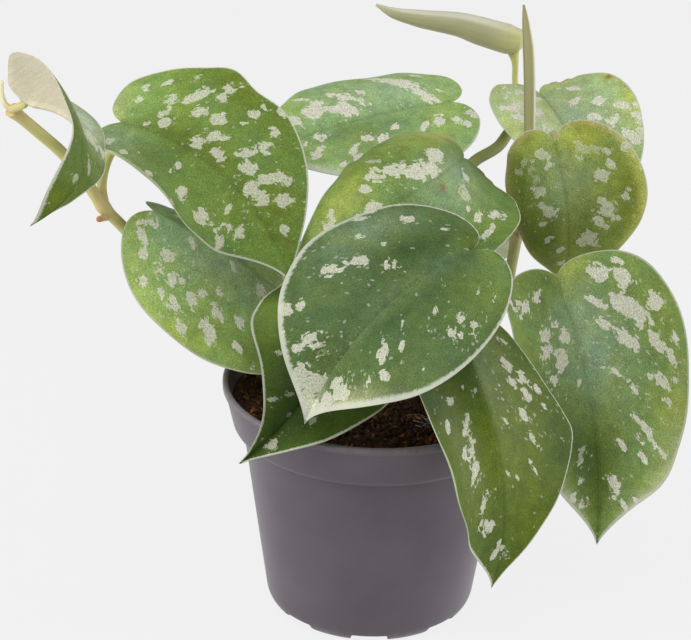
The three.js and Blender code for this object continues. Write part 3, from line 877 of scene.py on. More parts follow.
        here = x / length - 0.5
        _, across, up = self.rib_frame(here)
        side, reach = np.where(y < 0, -1.0, 1.0), np.abs(y)
        curl = np.where(side > 0, bending.curl_left / shape.left, bending.curl_right / shape.right)
        curl = np.radians(curl)
        fold = np.radians(bending.fold + bending.fold_gain * here)
        tilt = fold + curl * reach
        out, rise = (np.sin(tilt) - np.sin(fold)) / curl, (np.cos(fold) - np.cos(tilt)) / curl
        place = centre + across * (side * out)[..., None] + up * rise[..., None]
        lean = np.where(reach > 1e-6, tilt, 0.0)
        normal = up * np.cos(lean)[..., None] - across * (side * np.sin(lean))[..., None]
        turn = self.turn.matrix().T
        return place @ turn + np.array(self.at), unit(normal @ turn)

    def grid(self) -> tuple[Array, Array, Array]:
        """Sides, vein shares and outward shares of the sheet's vertices, finer at rib and margin.

        Returns:
            Three (rows - 1, 2 * columns + 1) arrays.
        """
        half = (1 - np.cos(np.pi * np.arange(self.columns + 1) / self.columns)) / 2
        out = np.concatenate([half[::-1], half[1:]])
        side = np.repeat([1.0, -1.0], [self.columns + 1, self.columns])
        tau = np.arange(1, self.rows)[:, None] / self.rows
        return tuple(np.broadcast_arrays(side, tau, out))

    def along_veins(self, x: Array, y: Array) -> tuple[Array, Array]:
        """Turn a flat place by the lean, so that the second distance runs along the side veins.

        Args:
            x: Distance along the midrib in mm.
            y: Signed distance out in mm.

        Returns:
            Distances in mm across the side veins, and along them from the midrib outward.
        """
        lean, reach = np.radians(self.lean), np.abs(y)
        return x * np.cos(lean) - reach * np.sin(lean), x * np.sin(lean) + reach * np.cos(lean)

    def silver_fields(self, side: Array, x: Array, y: Array) -> tuple[Array, Array]:
        """How silver the skin is, and how much its patches hide.

        Each patch is a flattened bell in flat mm, long along the side veins. The patches put down
        by chance come in pairs, the second a little farther out.

        Args:
            side: 1 for the left half, -1 for the right.
            x: Distance of each vertex along the midrib in mm.
            y: Its signed distance out in mm.

        Returns:
            The silver bias, 0 where the blade is green and near 0.9 in a patch, and the cover.
        """
        draw = np.random.default_rng(self.seed)
        patches = [(patch, self.PATCH_BIAS) for patch in self.patches]
        patches += [(patch, self.DUST_BIAS) for patch in self.dust]
        for half, count in zip((1, -1), self.strays):
            for _ in range(count):
                vein, far = draw.uniform(0.12, 0.92), draw.uniform(0.12, 0.95)
                long, wide = draw.uniform(2.5, 6.0), draw.uniform(1.8, 4.2)
                patches.append((Patch(vein, half * far, long, wide), self.STRAY_BIAS))
                vein, far = vein + 0.03 * draw.normal(), min(far + 0.8 * long / 30, 0.97)
                beside = Patch(vein, half * far, long * 0.7, wide * 0.8)
                patches.append((beside, self.STRAY_BIAS))
        across, along = self.along_veins(x, y)
        bias, cover = np.zeros(x.shape), np.full(x.shape, self.cover)
        for patch, height in patches:
            half = np.sign(patch.out)
            spot = self.flat_point(*(np.array([v]) for v in (half, patch.vein, abs(patch.out))))
            middle = self.along_veins(*spot[:2])
            wide, long = (0.65 * self.patch_scale * size for size in (patch.wide, patch.long))
            reach = ((across - middle[0]) / wide) ** 2 + ((along - middle[1]) / long) ** 2
            share = np.where(side == half, np.exp(-(reach**1.5) / 2), 0)
            bias = np.maximum(bias, height * share)
            cover = cover * (1 - (1 - patch.cover) * np.minimum(2 * share, 1))
        return bias, cover

    def tones(self, tau: Array, out: Array, away: Array) -> Array:
        """Colour of the green under the silver: the blade's own tone, its washes over it, and painted shade
        along the midrib's groove.

        Args:
            tau: Vein share.
            out: Signed outward share.
            away: Distance from the midrib in mm.

        Returns:
            Linear colours with 4 columns.
        """
        colour = np.broadcast_to(np.array(linear(self.tone)), (*tau.shape, 4))
        for wash in self.washes:
            near = bell((tau - wash.along) / wash.reach_along) * bell((out - wash.out) / wash.reach_out)
            colour = blend(colour, wash.tone.value, (wash.strength * near)[..., None])
        # painted shade: the midrib's groove is painted darker
        return colour * (1 - self.crease_shade * bell(away / 0.9))[..., None]

    def sheets(self, side: Array, tau: Array, out: Array) -> tuple[Array, Array]:
        """Upper and under face: the bent sheet with ripples, side veins, a groove and a keel.

        Args:
            side: 1 for the left half, -1 for the right.
            tau: Vein share.
            out: Outward share.

        Returns:
            Places on both faces.
        """
        x, y, span = self.flat_point(side, tau, out)
        place, normal = self.bent(x, y)
        share, away = np.clip(x / self.outline.length, 0, 1), np.abs(y)
        draw = np.random.default_rng(self.seed + 100)
        wave = sum(
            np.sin(count * np.pi * tau + draw.uniform(0, 6.28) + side * draw.uniform(0, 3.1))
            for count in (5, 8, 13)
        )
        lift = self.ripple * out**3 * np.sin(np.pi * tau) * wave
        lift = lift + self.vein_relief * np.sin(2 * np.pi * self.veins * tau) * out * (1 - out) * 4
        fade = smooth_step(0, 0.05, share)
        lift = lift - self.rib_groove * bell(away / 0.8) * (1 - 0.5 * share) * fade
        top = place + normal * lift[..., None]
        thin = self.edge + (self.thickness - self.edge) * smooth_step(0, 2.0, (1 - out) * span)
        keel = self.rib_height * bell(away) * (1 - share) ** 0.7 * smooth_step(0, 0.04, share)
        return top, top - normal * (thin + keel)[..., None]

    def build(self, skins: tuple[Skin, Skin]) -> Piece:
        """Make the blade: an upper and a lower sheet that meet in a round edge.

        Args:
            skins: Upper and under skin.

        Returns:
            The dressed piece.
        """
        side, tau, out = self.grid()
        rows, lines = side.shape
        sheet, top = rows * lines, (rows - 1) * lines
        upper, under = self.sheets(side, tau, out)
        ends = [self.bent(np.array([end]), np.array([0.0])) for end in (0.0, self.outline.length)]
        poles = np.concatenate([spot for spot, _ in ends])
        low_poles = poles - self.edge * np.concatenate([facing for _, facing in ends])
        rim = (upper[:, [0, -1]] + under[:, [0, -1]]) / 2
        rim = rim + unit(rim - upper[:, [1, -2]]) * self.edge / 2
        halves = upper.reshape(-1, 3), poles, under.reshape(-1, 3), low_poles
        points = np.vstack([*halves, rim[:, 0], rim[:, 1]])

        strip = np.arange(lines - 1)
        pole = np.full(lines - 1, sheet)
        fans = [
            np.stack([pole, strip + 1, strip], -1),
            np.stack([pole + 1, top + strip, top + strip + 1], -1),
        ]
        over = [grid_quads(rows, lines)[:, ::-1], *fans]
        below = [group[:, ::-1] + sheet + 2 for group in over]
        faces = [*over, *below, *self.edge_faces(rows, lines)]
        piece = make_piece(self.node.replace("leaf", "blade"), points, faces, *skins)
        slots = np.ones(len(piece.data.polygons), np.int32)
        slots[: sum(len(group) for group in over)] = 0
        piece.data.polygons.foreach_set("material_index", slots)

        for name, values in self.fields(side, tau, out).items():
            flat = values.reshape(sheet, -1)
            both = np.vstack([flat, flat[[lines // 2, sheet - lines // 2 - 1]]])
            margins = [values[:, column].reshape(rows, -1) for column in (0, -1)]
            write_attribute(piece, name, np.vstack([both, both, *margins]).squeeze())
        return dress(piece, self.node)

    def fields(self, side: Array, tau: Array, out: Array) -> dict[str, Array]:
        """What the skins read at each vertex of a sheet.

        Args:
            side: 1 for the left half, -1 for the right.
            tau: Vein share.
            out: Outward share.

        Returns:
            Attribute names and values.
        """
        x, y, span = self.flat_point(side, tau, out)
        margins = self.left_margin, self.right_margin
        widths = [np.interp(tau, *zip(*margin)) for margin in margins]
        bias, cover = self.silver_fields(side, x, y)
        return {
            "tone": self.tones(tau, side * out, np.abs(y)),
            "under": np.broadcast_to(np.array(linear(self.under)), (*tau.shape, 4)),
            "silver": bias,
            "cover": cover,
            "rim": (1 - out) * span / np.where(side > 0, *widths),
            # the third number gives each half of each blade a pattern of its own
            "vein": np.stack([*self.along_veins(x, y), 37.0 * self.seed + 5.0 * side], -1),
        }

    @staticmethod
    def edge_faces(rows: int, lines: int) -> list[Array]:
        """Faces that join the two sheets round the margin, through a line of vertices between them.

        Args:
            rows: Rows of a sheet.
            lines: Vertices in a row.

        Returns:
            Quads along both margins and triangles at the stalk and the tip.
        """
        sheet = rows * lines
        low = sheet + 2  # the first vertex of the under sheet
        row, faces = np.arange(rows - 1), []
        for column, start, turn in ((0, 2 * low, 1), (lines - 1, 2 * low + rows, -1)):
            a, m = row * lines + column, start + row
            first, last, end = column, (rows - 1) * lines + column, start + rows - 1
            fans = [
                [sheet, first, start], [sheet, start, low + sheet], [start, first + low, sheet + low],
                [last, sheet + 1, end], [sheet + 1, sheet + 1 + low, end],
                [sheet + 1 + low, last + low, end],
            ]
            quads = [a, a + lines, m + 1, m], [m, m + 1, a + lines + low, a + low]
            groups = [*(np.stack(quad, -1) for quad in quads), np.array(fans)]
            faces += [group[:, ::turn] for group in groups]
        return faces


# New leaves and stems


@dataclass
class RolledLeaf:
    """A new leaf that is still rolled up: a snail-shaped section that tapers along a spine."""

    node: str
    spine: tuple[Point, ...]
    radii: tuple[float, ...]
    seam: float  # degrees, where the outer turn ends
    body: str
    edge: str
    far_edge: str  # opposite the pale side
    base: str
    pale_side: Point
    sides: int = 72
    overlap: float = 0.16
    step: float = 0.06  # share of the radius that the outer turn's edge stands back
    flatness: float = 0.82
    front: Point = (0.0, -1.0, 0.4)

    def build(self, skin: Skin) -> Piece:
        """Carry the section along the spine: radius * (1 - overlap * share) at seam + share of a turn.

        Args:
            skin: The young leaf's skin.

        Returns:
            The dressed piece.
        """
        path = smooth_path(self.spine, 0.7)
        lengths, given = path_lengths(path), path_lengths(np.array(self.spine))
        at = lengths / lengths[-1]
        radius = np.interp(at, given / given[-1], self.radii)[:, None]
        along = unit(np.gradient(path, axis=0))
        across = unit(np.cross(along, unit(np.array(self.front))))
        deep = np.cross(along, across)
        share = np.linspace(0, 1, self.sides)
        angle = np.radians(self.seam) + 2 * np.pi * share
        rounded = 1 - self.overlap * share - self.step * bell(share / 0.012)
        section = np.cos(angle) * rounded, self.flatness * np.sin(angle) * rounded
        spread = sum(part[None, :, None] * way[:, None] for part, way in zip(section, (across, deep)))
        rings = path[:, None] + radius[..., None] * spread
        points = np.vstack([rings.reshape(-1, 3), path[:1], path[-1:]])
        name = self.node.replace("new", "rolled")
        piece = make_piece(name, points, ring_faces(len(path), self.sides), skin)

        toward = (rings - path[:, None]) @ np.array(self.pale_side) / radius
        pale = np.maximum(bell(share / 0.03), smooth_step(0.5, 0.8, toward))
        at = np.broadcast_to(at[:, None], toward.shape)
        tone = np.broadcast_to(np.array(linear(self.body)), (*toward.shape, 4))
        for colour, weight in (
            (self.far_edge, smooth_step(0.35, 0.8, -toward)),
            (self.edge, pale),
            (self.base, 0.8 * bell(at / 0.14)),
            (self.far_edge, 0.6 * bell((at - 1) / 0.1)),
        ):
            tone = blend(tone, colour, weight[..., None])
        run = np.stack(np.broadcast_arrays(share * 30, lengths[:, None], 0.0), -1)
        for name, values in (("tone", tone), ("run", run)):
            flat = values.reshape(-1, values.shape[-1])
            write_attribute(piece, name, np.vstack([flat, flat[[0, -self.sides]]]))
        return dress(piece, self.node)


@dataclass(frozen=True)
class Stalk:
    """A stalk off a stem: its route, its radius, and the blade or rolled leaf that it ends under."""

    route: tuple[Point, ...]
    leaf: str | None = None
    radius: float = 1.6
    tone: str | None = None  # where the stalk differs from its stem
    flare: float = 0.0  # share that the radius grows by at the end


@dataclass
class Vine:
    """One stem out of the soil, with its knots and leaf stalks."""

    node: str
    route: tuple[Point, ...]
    knots: tuple[Point, ...]
    stalks: tuple[Stalk, ...]
    radius: float = 2.3
    knot_swell: float = 0.28
    knot_reach: float = 3.2
    sides: int = 28
    step: float = 0.8
    young: str = "#a29f6e"
    old: str = "#7f8c4c"
    aged: tuple[float, float] = (95, 165)  # mm, heights where the stem is old and where it is young
    flush: str = "#bd8f6d"
    flush_reach: float = 6.0  # mm round a knot
    flush_strength: float = 0.45

    def stalk_route(self, stalk: Stalk, leaves: dict[str, Blade | RolledLeaf]) -> list[Point]:
        """Lead a stalk on to its leaf: a turn under the blade, then up against its lower face.

        Args:
            stalk: The stalk.
            leaves: Blades and rolled leaves by node name.

        Returns:
            All points of its route.
        """
        route, leaf = list(stalk.route), leaves.get(stalk.leaf)
        if leaf is None:
            return route
        if isinstance(leaf, RolledLeaf):
            foot, following = (np.array(point) for point in leaf.spine[:2])
            ahead = unit(following - foot)
            return [*route, tuple(foot - 6 * ahead), tuple(foot + 1.5 * ahead)]
        ahead, _, up = (leaf.turn.matrix() @ way for way in leaf.rib_frame(np.array(-0.5)))
        seat = np.array(leaf.at)
        if np.linalg.norm(np.array(route[-1]) - seat) >= 9:
            route.append(tuple(seat - 7 * up - 2 * ahead))
        return [*route, tuple(seat - 0.3 * up)]

    def stalk_radii(self, path: Array, stalk: Stalk) -> Array:
        """Radius along a stalk: a sheath at its foot, a knee under the blade, a rounded end.

        Args:
            path: Samples along the stalk.
            stalk: The stalk.

        Returns:
            (n,) radii in mm.
        """
        lengths = path_lengths(path)
        left = lengths[-1] - lengths
        sheath = 0.3 * bell(lengths / 7.0)
        knee = 0.12 * bell((left - 4.0) / 3.0) if stalk.leaf else 0.0
        flare = stalk.flare * bell(left / 5.5)
        blunt = 1 - 0.9 * (1 - np.clip(left / stalk.radius, 0, 1)) ** 2
        return stalk.radius * (1 + sheath + knee + flare) * np.sqrt(np.clip(blunt, 0.05, 1))

    def build(self, skin: Skin, leaves: dict[str, Blade | RolledLeaf]) -> Piece:
        """Sweep the stem and its stalks as round tubes that run into each other at the knots.

        Args:
            skin: The stem's skin.
            leaves: Blades and rolled leaves by node name.

        Returns:
            The dressed piece.
        """
        path = smooth_path(self.route, self.step)
        radii = np.full(len(path), self.radius)
        for knot in self.knots:
            away = np.linalg.norm(path - np.array(knot), axis=1)
            radii = radii + self.radius * self.knot_swell * bell(away / self.knot_reach)
        tubes = [(path, radii, None)]
        for stalk in self.stalks:
            own = smooth_path(self.stalk_route(stalk, leaves), self.step)
            tubes.append((own, self.stalk_radii(own, stalk), stalk.tone))
        parts, tones, runs = [], [], []
        for own, own_radii, own_tone in tubes:
            parts.append(swept_tube(own, own_radii, self.sides))
            lengths = path_lengths(own)
            around, ahead = np.meshgrid(turns(self.sides) * self.radius, lengths)
            run = np.stack([around, ahead, np.full(around.shape, 11.0 * len(parts))], -1).reshape(-1, 3)
            runs.append(np.vstack([run, run[[0, -1]]]))
            tone = self.tones(parts[-1][0])
            if own_tone:
                far = np.append(np.repeat(lengths, self.sides), (0.0, lengths[-1]))
                tone = blend(tone, own_tone, smooth_step(1.0, 5.0, far)[:, None])
            tones.append(tone)
        piece = make_piece(self.node + "_stems", *merge_parts(parts), skin)
        write_attribute(piece, "tone", np.vstack(tones))
        write_attribute(piece, "run", np.vstack(runs))
        return dress(piece, self.node)

    def tones(self, points: Array) -> Array:
        """Stem colour: darker near the soil, with a rosy flush round each knot.

        Args:
            points: Vertices.

        Returns:
            Linear colours with 4 columns.
        """
        age = (1 - smooth_step(*self.aged, points[:, 2]))[:, None]
        colour = blend(np.array(linear(self.young)), self.old, age)
        away = [np.linalg.norm(points - np.array(knot), axis=1) for knot in self.knots]
        near = bell(np.min(away, axis=0) / self.flush_reach)
        return blend(colour, self.flush, (self.flush_strength * near)[:, None])


# Pot and soil


@dataclass
class NurseryPot:
    """The moulded 12 cm pot: tapering body, deep rim band, rounded lip, drain channels and holes."""

    height: float = 97.0
    rim_radius: float = 60.0
    lip_height: float = 3.0
    lip_step: float = 0.8
    band_bottom: float = 78.4
    band_bottom_radius: float = 55.6
    ledge_slope: float = 0.8
    body_top_radius: float = 52.1
    foot_radius: float = 40.9
    foot_round: float = 6.4
    wall: float = 1.4
    floor: float = 1.8
    channels: int = 8
    channel_width: float = 14.0
    channel_height: float = 4.0
    channel_start: float = 17.0
    floor_rise: float = 4.4
    hole_radius: float = 3.5
    sides: int = 448

    def body_radius(self, z: float | Array) -> float | Array:
        """Outer radius of the tapering body at a height."""
        return self.foot_radius + (self.body_top_radius - self.foot_radius) * z / self.band_bottom

    def band_radius(self, z: float | Array) -> float | Array:
        """Outer radius of the rim band at a height."""
        share = (z - self.band_bottom) / (self.height - self.lip_height - self.band_bottom)
        low = self.band_bottom_radius
        return low + (self.rim_radius - self.lip_step - low) * share

    def inside(self, top: float, inset: float) -> Array:
        """Inside outline from the floor's middle to a height, moved in by a gap.

        Args:
            top: Height where it ends.
            inset: Gap to leave all round, in mm.

        Returns:
            (n, 2) radii and heights.
        """
        floor_top = self.floor_rise + self.floor + inset
        turn, offset = self.foot_round - self.wall, self.wall + inset
        corner = self.foot_radius - offset
        start = np.array([corner - turn, floor_top])
        end = np.array([self.body_radius(turn) - offset, floor_top + turn])
        t = np.linspace(0, 1, 12)[:, None]
        bend = (1 - t) ** 2 * start + 2 * t * (1 - t) * np.array([corner, floor_top]) + t**2 * end
        ledge = self.band_bottom + self.wall + inset
        upper = [
            [self.body_top_radius - offset, ledge],
            [self.band_radius(ledge) - offset, ledge + self.ledge_slope],
            [self.band_radius(top) - offset, top],
        ]
        return np.vstack([[[0.0, floor_top]], bend, upper])

    def outside(self) -> Array:
        """Outer outline from under the floor's middle over the lip, with each corner rounded.

        Returns:
            (n, 2) radii and heights.
        """
        flat, t = self.foot_radius - self.foot_round, np.linspace(0, 1, 26)[:, None]
        bottom = np.stack([np.linspace(0, flat, 40)[:-1], np.zeros(39)], -1)
        foot = (1 - t) ** 2 * [flat, 0.0] + 2 * t * (1 - t) * [self.foot_radius, 0.0]
        foot = foot + t**2 * [self.body_radius(self.foot_round), self.foot_round]
        body_z = np.linspace(self.foot_round, self.band_bottom - 0.5, 40)[1:]
        body = np.stack([self.body_radius(body_z), body_z], -1)
        low, step, wide = self.body_top_radius, self.band_bottom, self.band_bottom_radius
        band_low, lip_low = step + self.ledge_slope, self.height - self.lip_height
        ledge = [
            [low, step - 0.15], [low + 0.35, step], [wide - 0.5, band_low - 0.25],
            [wide - 0.12, band_low - 0.05], [wide + 0.02, band_low + 0.3],
        ]
        band_z = np.linspace(band_low + 0.8, lip_low - 0.35, 14)
        band = np.stack([self.band_radius(band_z), band_z], -1)
        rim, half = self.rim_radius, (self.lip_step + self.wall) / 2
        under_lip = [
            [rim - self.lip_step, lip_low - 0.1], [rim - 0.3, lip_low + 0.02], [rim - 0.04, lip_low + 0.25],
        ]
        angle = np.linspace(0, np.pi, 14)
        round_top = self.height - half + half * np.sin(angle)
        crown = np.stack([rim - half + half * np.cos(angle), round_top], -1)
        return np.vstack([bottom, foot, body, ledge, band, under_lip, crown])

    def build(self, plastic: Skin) -> Piece:
        """Turn the outline about Z, lift it over the drain channels, and drill the drain holes.

        A point under the channel's roof is lifted to it where it lies within half a channel's
        width of a channel's middle line and past its inner end.

        Args:
            plastic: The pot's plastic.

        Returns:
            The dressed piece.
        """
        outside = self.outside()
        profile = np.vstack([outside, self.inside(self.height - self.lip_height, 0.0)[::-1]])
        angle = turns(self.sides)
        radius, height = profile[1:-1, 0][:, None], profile[1:-1, 1][:, None]
        pitch = 2 * np.pi / self.channels
        off_middle = (angle + np.pi / 2 + pitch / 2) % pitch - pitch / 2
        sideways, ahead = np.abs(radius * np.sin(off_middle)), radius * np.cos(off_middle)
        half, start = self.channel_width / 2, self.channel_start
        mask = 1 - smooth_step(half - 0.35, half + 0.35, sideways)
        mask = mask * smooth_step(start - 0.4, start + 0.4, ahead)
        mask[len(outside) - 1 :] = 0
        z = height + mask * np.clip(self.channel_height - height, 0, None)
        rings = np.stack([radius * np.cos(angle), radius * np.sin(angle), z], -1)
        points = np.vstack([rings.reshape(-1, 3), [[0, 0, 0], [0, 0, profile[-1, 1]]]])
        pot = make_piece("moulded_pot", points, ring_faces(len(rings), self.sides))
        # Wear: more at the lip and the foot, and a dip under the rim band that leaves the ledge darker, as
        # painted shade under the band.
        lip = bell((points[:, 2] - self.height) / 2.2)
        band_shade = 0.25 * bell((points[:, 2] - self.band_bottom) / 1.5)
        write_attribute(pot, "wear_and_band_shade", 0.25 + lip - band_shade + 0.5 * bell(points[:, 2] / 6.0))
        self.drill(pot)
        pot.data.materials.clear()
        pot.data.materials.append(plastic)
        return dress(pot, "pot")

    def drill(self, pot: Piece) -> None:
        """Cut a round hole through the floor at the inner end of each channel.

        Args:
            pot: The pot, which is changed.
        """
        at = self.channel_start + self.channel_width / 2
        drills = []
        for angle in turns(self.channels) - np.pi / 2:
            path = [[at * np.cos(angle), at * np.sin(angle), z] for z in (-3.0, 2.0, 8.0)]
            drills.append(swept_tube(np.array(path), np.full(3, self.hole_radius), 40))
        cutter = make_piece("drill", *merge_parts(drills))
        cut = pot.modifiers.new("drain_holes", "BOOLEAN")
        cut.object, cut.operation, cut.solver = cutter, "DIFFERENCE", "EXACT"
        bpy.context.view_layer.update()
        drilled = pot.evaluated_get(bpy.context.evaluated_depsgraph_get())
        mesh = bpy.data.meshes.new_from_object(drilled)
        pot.modifiers.clear()
        pot.data = mesh
        bpy.data.objects.remove(cutter)
        mesh.shade_smooth()


@dataclass
class PottingMix:
    """The body of peat in the pot, with loose crumbs, fibres and a tuft of pale threads on top."""

    pot: NurseryPot
    level: float = 88.0
    gap: float = 0.3
    rings: int = 110
    sides: int = 240
    crumbs: int = 1500
    crumb_size: float = 1.5  # mm, radius of the largest
    fibres: int = 260
    threads: int = 70
    tuft: tuple[float, float] = (27.0, -22.0)
    tuft_spread: tuple[float, float] = (7.0, 4.5)
    reach: float = 54.5
    fibre_reach: float = 52.0
    fibre_length: tuple[float, float] = (2.5, 8.0)
    fibre_radius: tuple[float, float] = (0.1, 0.24)
    seed: int = 7

    def height(self, x: Array, y: Array) -> Array:
        """Height of the lumpy surface: two long waves, as in the solid, and short ones for crumb."""
        low = 0.85 * np.sin(0.21 * x + 0.17 * y + 1) + 0.45 * np.sin(0.43 * x - 0.37 * y + 2)
        short = 0.35 * np.sin(1.3 * x + 0.9 * y) * np.sin(1.1 * y - 0.7 * x + 1)
        return self.level + low + short + 0.22 * np.sin(2.3 * x - 1.9 * y)

    def build(self, peat: Skin) -> Piece:
        """Turn the pot's inside outline about Z and close it with the lumpy surface.

        Args:
            peat: The mix's finish.

        Returns:
            The dressed piece.
        """
        wall = self.pot.inside(self.level, self.gap)
        edge, side_rows = wall[-1, 0], len(wall) - 1
        radius = np.append(wall[1:, 0], np.linspace(edge, 0, self.rings)[1:-1])[:, None]
        angle = turns(self.sides)
        x, y = radius * np.cos(angle), radius * np.sin(angle)
        z = self.level + (self.height(x, y) - self.level) * np.clip((1 - radius / edge) * 5, 0, 1)
        z[:side_rows] = wall[1:, 1][:, None]
        poles = [[0, 0, wall[0, 1]], [0, 0, self.height(0, 0)]]
        points = np.vstack([np.stack([x, y, z], -1).reshape(-1, 3), poles])
        piece = make_piece("peat_body", points, ring_faces(len(radius), self.sides), peat)
        return dress(piece, "soil")

    def scatter(self, draw: np.random.Generator, count: int, reach: float) -> Array:
        """Places spread evenly over the surface.

        Args:
            draw: Random numbers.
            count: How many.
            reach: Largest radius in mm.

        Returns:
            (count, 3) places on the surface.
        """
        radius, angle = reach * np.sqrt(draw.uniform(0, 1, count)), draw.uniform(0, 2 * np.pi, count)
        x, y = radius * np.cos(angle), radius * np.sin(angle)
        return np.stack([x, y, self.height(x, y)], -1)

    def build_crumbs(self, peat: Skin) -> Piece:
        """Lay small dented lumps on the surface: an icosahedron each, stretched and turned.

        Args:
            peat: The crumbs' finish.

        Returns:
            The dressed piece.
        """
        draw, count = np.random.default_rng(self.seed), self.crumbs
        golden = (1 + 5**0.5) / 2
        corner = np.array([[-1, golden, 0], [1, golden, 0], [-1, -golden, 0], [1, -golden, 0]])
        corner = unit(np.vstack([corner, corner[:, [2, 0, 1]], corner[:, [1, 2, 0]]]))
        hull = np.array([
            [0, 11, 5], [0, 5, 1], [0, 1, 7], [0, 7, 10], [0, 10, 11], [1, 5, 9], [5, 11, 4],
            [11, 10, 2], [10, 7, 6], [7, 1, 8], [3, 9, 4], [3, 4, 2], [3, 2, 6], [3, 6, 8],
            [3, 8, 9], [4, 9, 5], [2, 4, 11], [6, 2, 10], [8, 6, 7], [9, 8, 1],
        ])
        places = self.scatter(draw, count, self.reach)
        sizes = draw.uniform(0.35, 1.0, (count, 1, 1)) ** 1.6 * self.crumb_size
        stretch = draw.uniform(0.55, 1.3, (count, 1, 3))
        frames = np.linalg.qr(draw.normal(size=(count, 3, 3)))[0]
        frames = frames * np.sign(np.linalg.det(frames))[:, None, None]
        dents = draw.uniform(0.75, 1.15, (count, 12, 1))
        lumps = np.einsum("nij,nkj->nki", frames, corner * dents * stretch) * sizes
        points = (places[:, None] + lumps + np.array([0, 0, 0.3])).reshape(-1, 3)
        faces = (hull + 12 * np.arange(count)[:, None, None]).reshape(-1, 3)
        return dress(make_piece("peat_crumbs", points, [faces], peat))

    def build_fibres(self, name: str, finish: Skin, count: int, seed: int, tuft: bool = False) -> Piece:
        """Lay thin bent fibres on the surface: each an arc in a plane of its own, three-sided.

        Args:
            name: The piece's name.
            finish: The fibres' finish.
            count: How many.
            seed: Random seed.
            tuft: Whether they gather at the tuft.

        Returns:
            The dressed piece.
        """
        draw = np.random.default_rng(seed)
        starts = self.scatter(draw, count, self.fibre_reach)
        if tuft:
            near = draw.normal(size=(count, 2)) * self.tuft_spread + np.array(self.tuft)
            starts = np.column_stack([near, self.height(*near.T)])
        samples, sides = 7, 3
        t = np.linspace(-0.5, 0.5, samples)[None, :, None]
        length = draw.uniform(*self.fibre_length, (count, 1, 1))
        turn = draw.uniform(0, 2 * np.pi, (count, 1))
        climb, level = draw.normal(size=(count, 1)) * 0.2, np.zeros((count, 1))
        ahead = np.concatenate([np.cos(turn), np.sin(turn), climb], 1)[:, None]
        beside = np.concatenate([-np.sin(turn), np.cos(turn), level], 1)[:, None]
        up, bow = np.array([0.0, 0.0, 1.0]), draw.uniform(-0.5, 0.5, (count, 1, 1))
        paths = starts[:, None] + length * (t * ahead + bow * (t**2 - 0.25) * beside)
        paths = paths + up * (0.55 + 0.12 * length * (0.25 - t**2))
        thick = draw.uniform(*self.fibre_radius, (count, 1, 1)) * (1 - 1.2 * t**2)
        angle = turns(sides)[None, None, :, None]
        circle = np.cos(angle) * beside[:, :, None] + np.sin(angle) * up
        points = (paths[:, :, None] + thick[..., None] * circle).reshape(-1, 3)
        first, top = samples * sides * np.arange(count)[:, None, None], (samples - 1) * sides
        caps = np.array([[0, 2, 1], [top, top + 1, top + 2]])
        shells = grid_quads(samples, sides, wrap=True), caps
        faces = [(group + first).reshape(-1, group.shape[1]) for group in shells]
        return dress(make_piece(name, points, faces, finish))


# Studio


@dataclass
class Studio:
    """Camera, pale floor and soft lamps round the plant."""

    aim: Point = (-12.4, 0.0, 121.8)
    distance: float = 1000.0
    elevation: float = 25.05
    roll: float = 1.42
    focal_pixels: float = 2577.0
    image_width: float = 691.0
    sensor: float = 36.0
    floor_reach: float = 12000.0
    floor_drop: float = 0.2
    surroundings: str = "#f7f5f2"
    surround_strength: float = 0.36

    def build_camera(self) -> None:
        """Place the camera on a line that falls toward the aim at the elevation, turned by the roll."""
        lift, roll = np.radians(self.elevation), np.radians(self.roll)
        back = np.array([0, -np.cos(lift), np.sin(lift)])
        level, up = np.array([1.0, 0, 0]), np.array([0, np.sin(lift), np.cos(lift)])
        right = np.cos(roll) * level + np.sin(roll) * up
        above = np.cos(roll) * up - np.sin(roll) * level
        camera = bpy.data.cameras.new("camera")
        camera.sensor_width = self.sensor
        camera.lens = self.focal_pixels * self.sensor / self.image_width
        camera.clip_end = 50
        holder = bpy.data.objects.new("camera", camera)
        bpy.context.scene.collection.objects.link(holder)
        place = Matrix.Translation(Vector((np.array(self.aim) + self.distance * back) * MM))
        holder.matrix_world = place @ Matrix(np.column_stack([right, above, back]).tolist()).to_4x4()
        bpy.context.scene.camera = holder

    def build_floor(self, paper: Skin) -> None:
        """Lay a wide flat floor just under the pot.

        Args:
            paper: The floor's finish.
        """
        corners = np.array([[-1, -1], [1, -1], [1, 1], [-1, 1]]) * self.floor_reach
        points = np.column_stack([corners, np.full(4, -self.floor_drop)])
        make_piece("floor", points, [np.array([[0, 1, 2, 3]])], paper)

    def build_lamp(self, name: str, place: Point, size: float, watts: float, colour: str) -> None:
        """Hang a square soft lamp that faces the plant.

        Args:
            name: The lamp's name.
            place: Where it hangs, in mm.
            size: Its side, in mm.
            watts: Its power.
            colour: Its colour.
        """
        light = bpy.data.lights.new(name, "AREA")
        light.shape, light.size, light.energy = "SQUARE", size * MM, watts
        light.color = linear(colour)[:3]
        lamp = bpy.data.objects.new(name, light)
        bpy.context.scene.collection.objects.link(lamp)
        lamp.location = Vector(place) * MM
        toward = Vector(self.aim) * MM - lamp.location
        lamp.rotation_euler = toward.to_track_quat("-Z", "Y").to_euler()

    def build(self) -> None:
        """Set up camera, floor, surroundings and lamps."""
        self.build_camera()
        self.build_floor(StudioPaper().make())
        world = bpy.data.worlds.new("studio")
        world.use_nodes = True
        colour, strength = world.node_tree.nodes["Background"].inputs[:2]
        colour.default_value = linear(self.surroundings)
        strength.default_value = self.surround_strength
        bpy.context.scene.world = world
        self.build_lamp("overhead", (-200.0, -600.0, 1150.0), 900.0, 10.5, "#ffffff")
        self.build_lamp("right_side", (1000.0, 80.0, 220.0), 700.0, 10.4, "#fbf5ff")
        self.build_lamp("left_side", (-950.0, -350.0, 450.0), 600.0, 6.3, "#ffffff")
        bpy.context.scene.view_settings.view_transform = "Standard"


# The plant


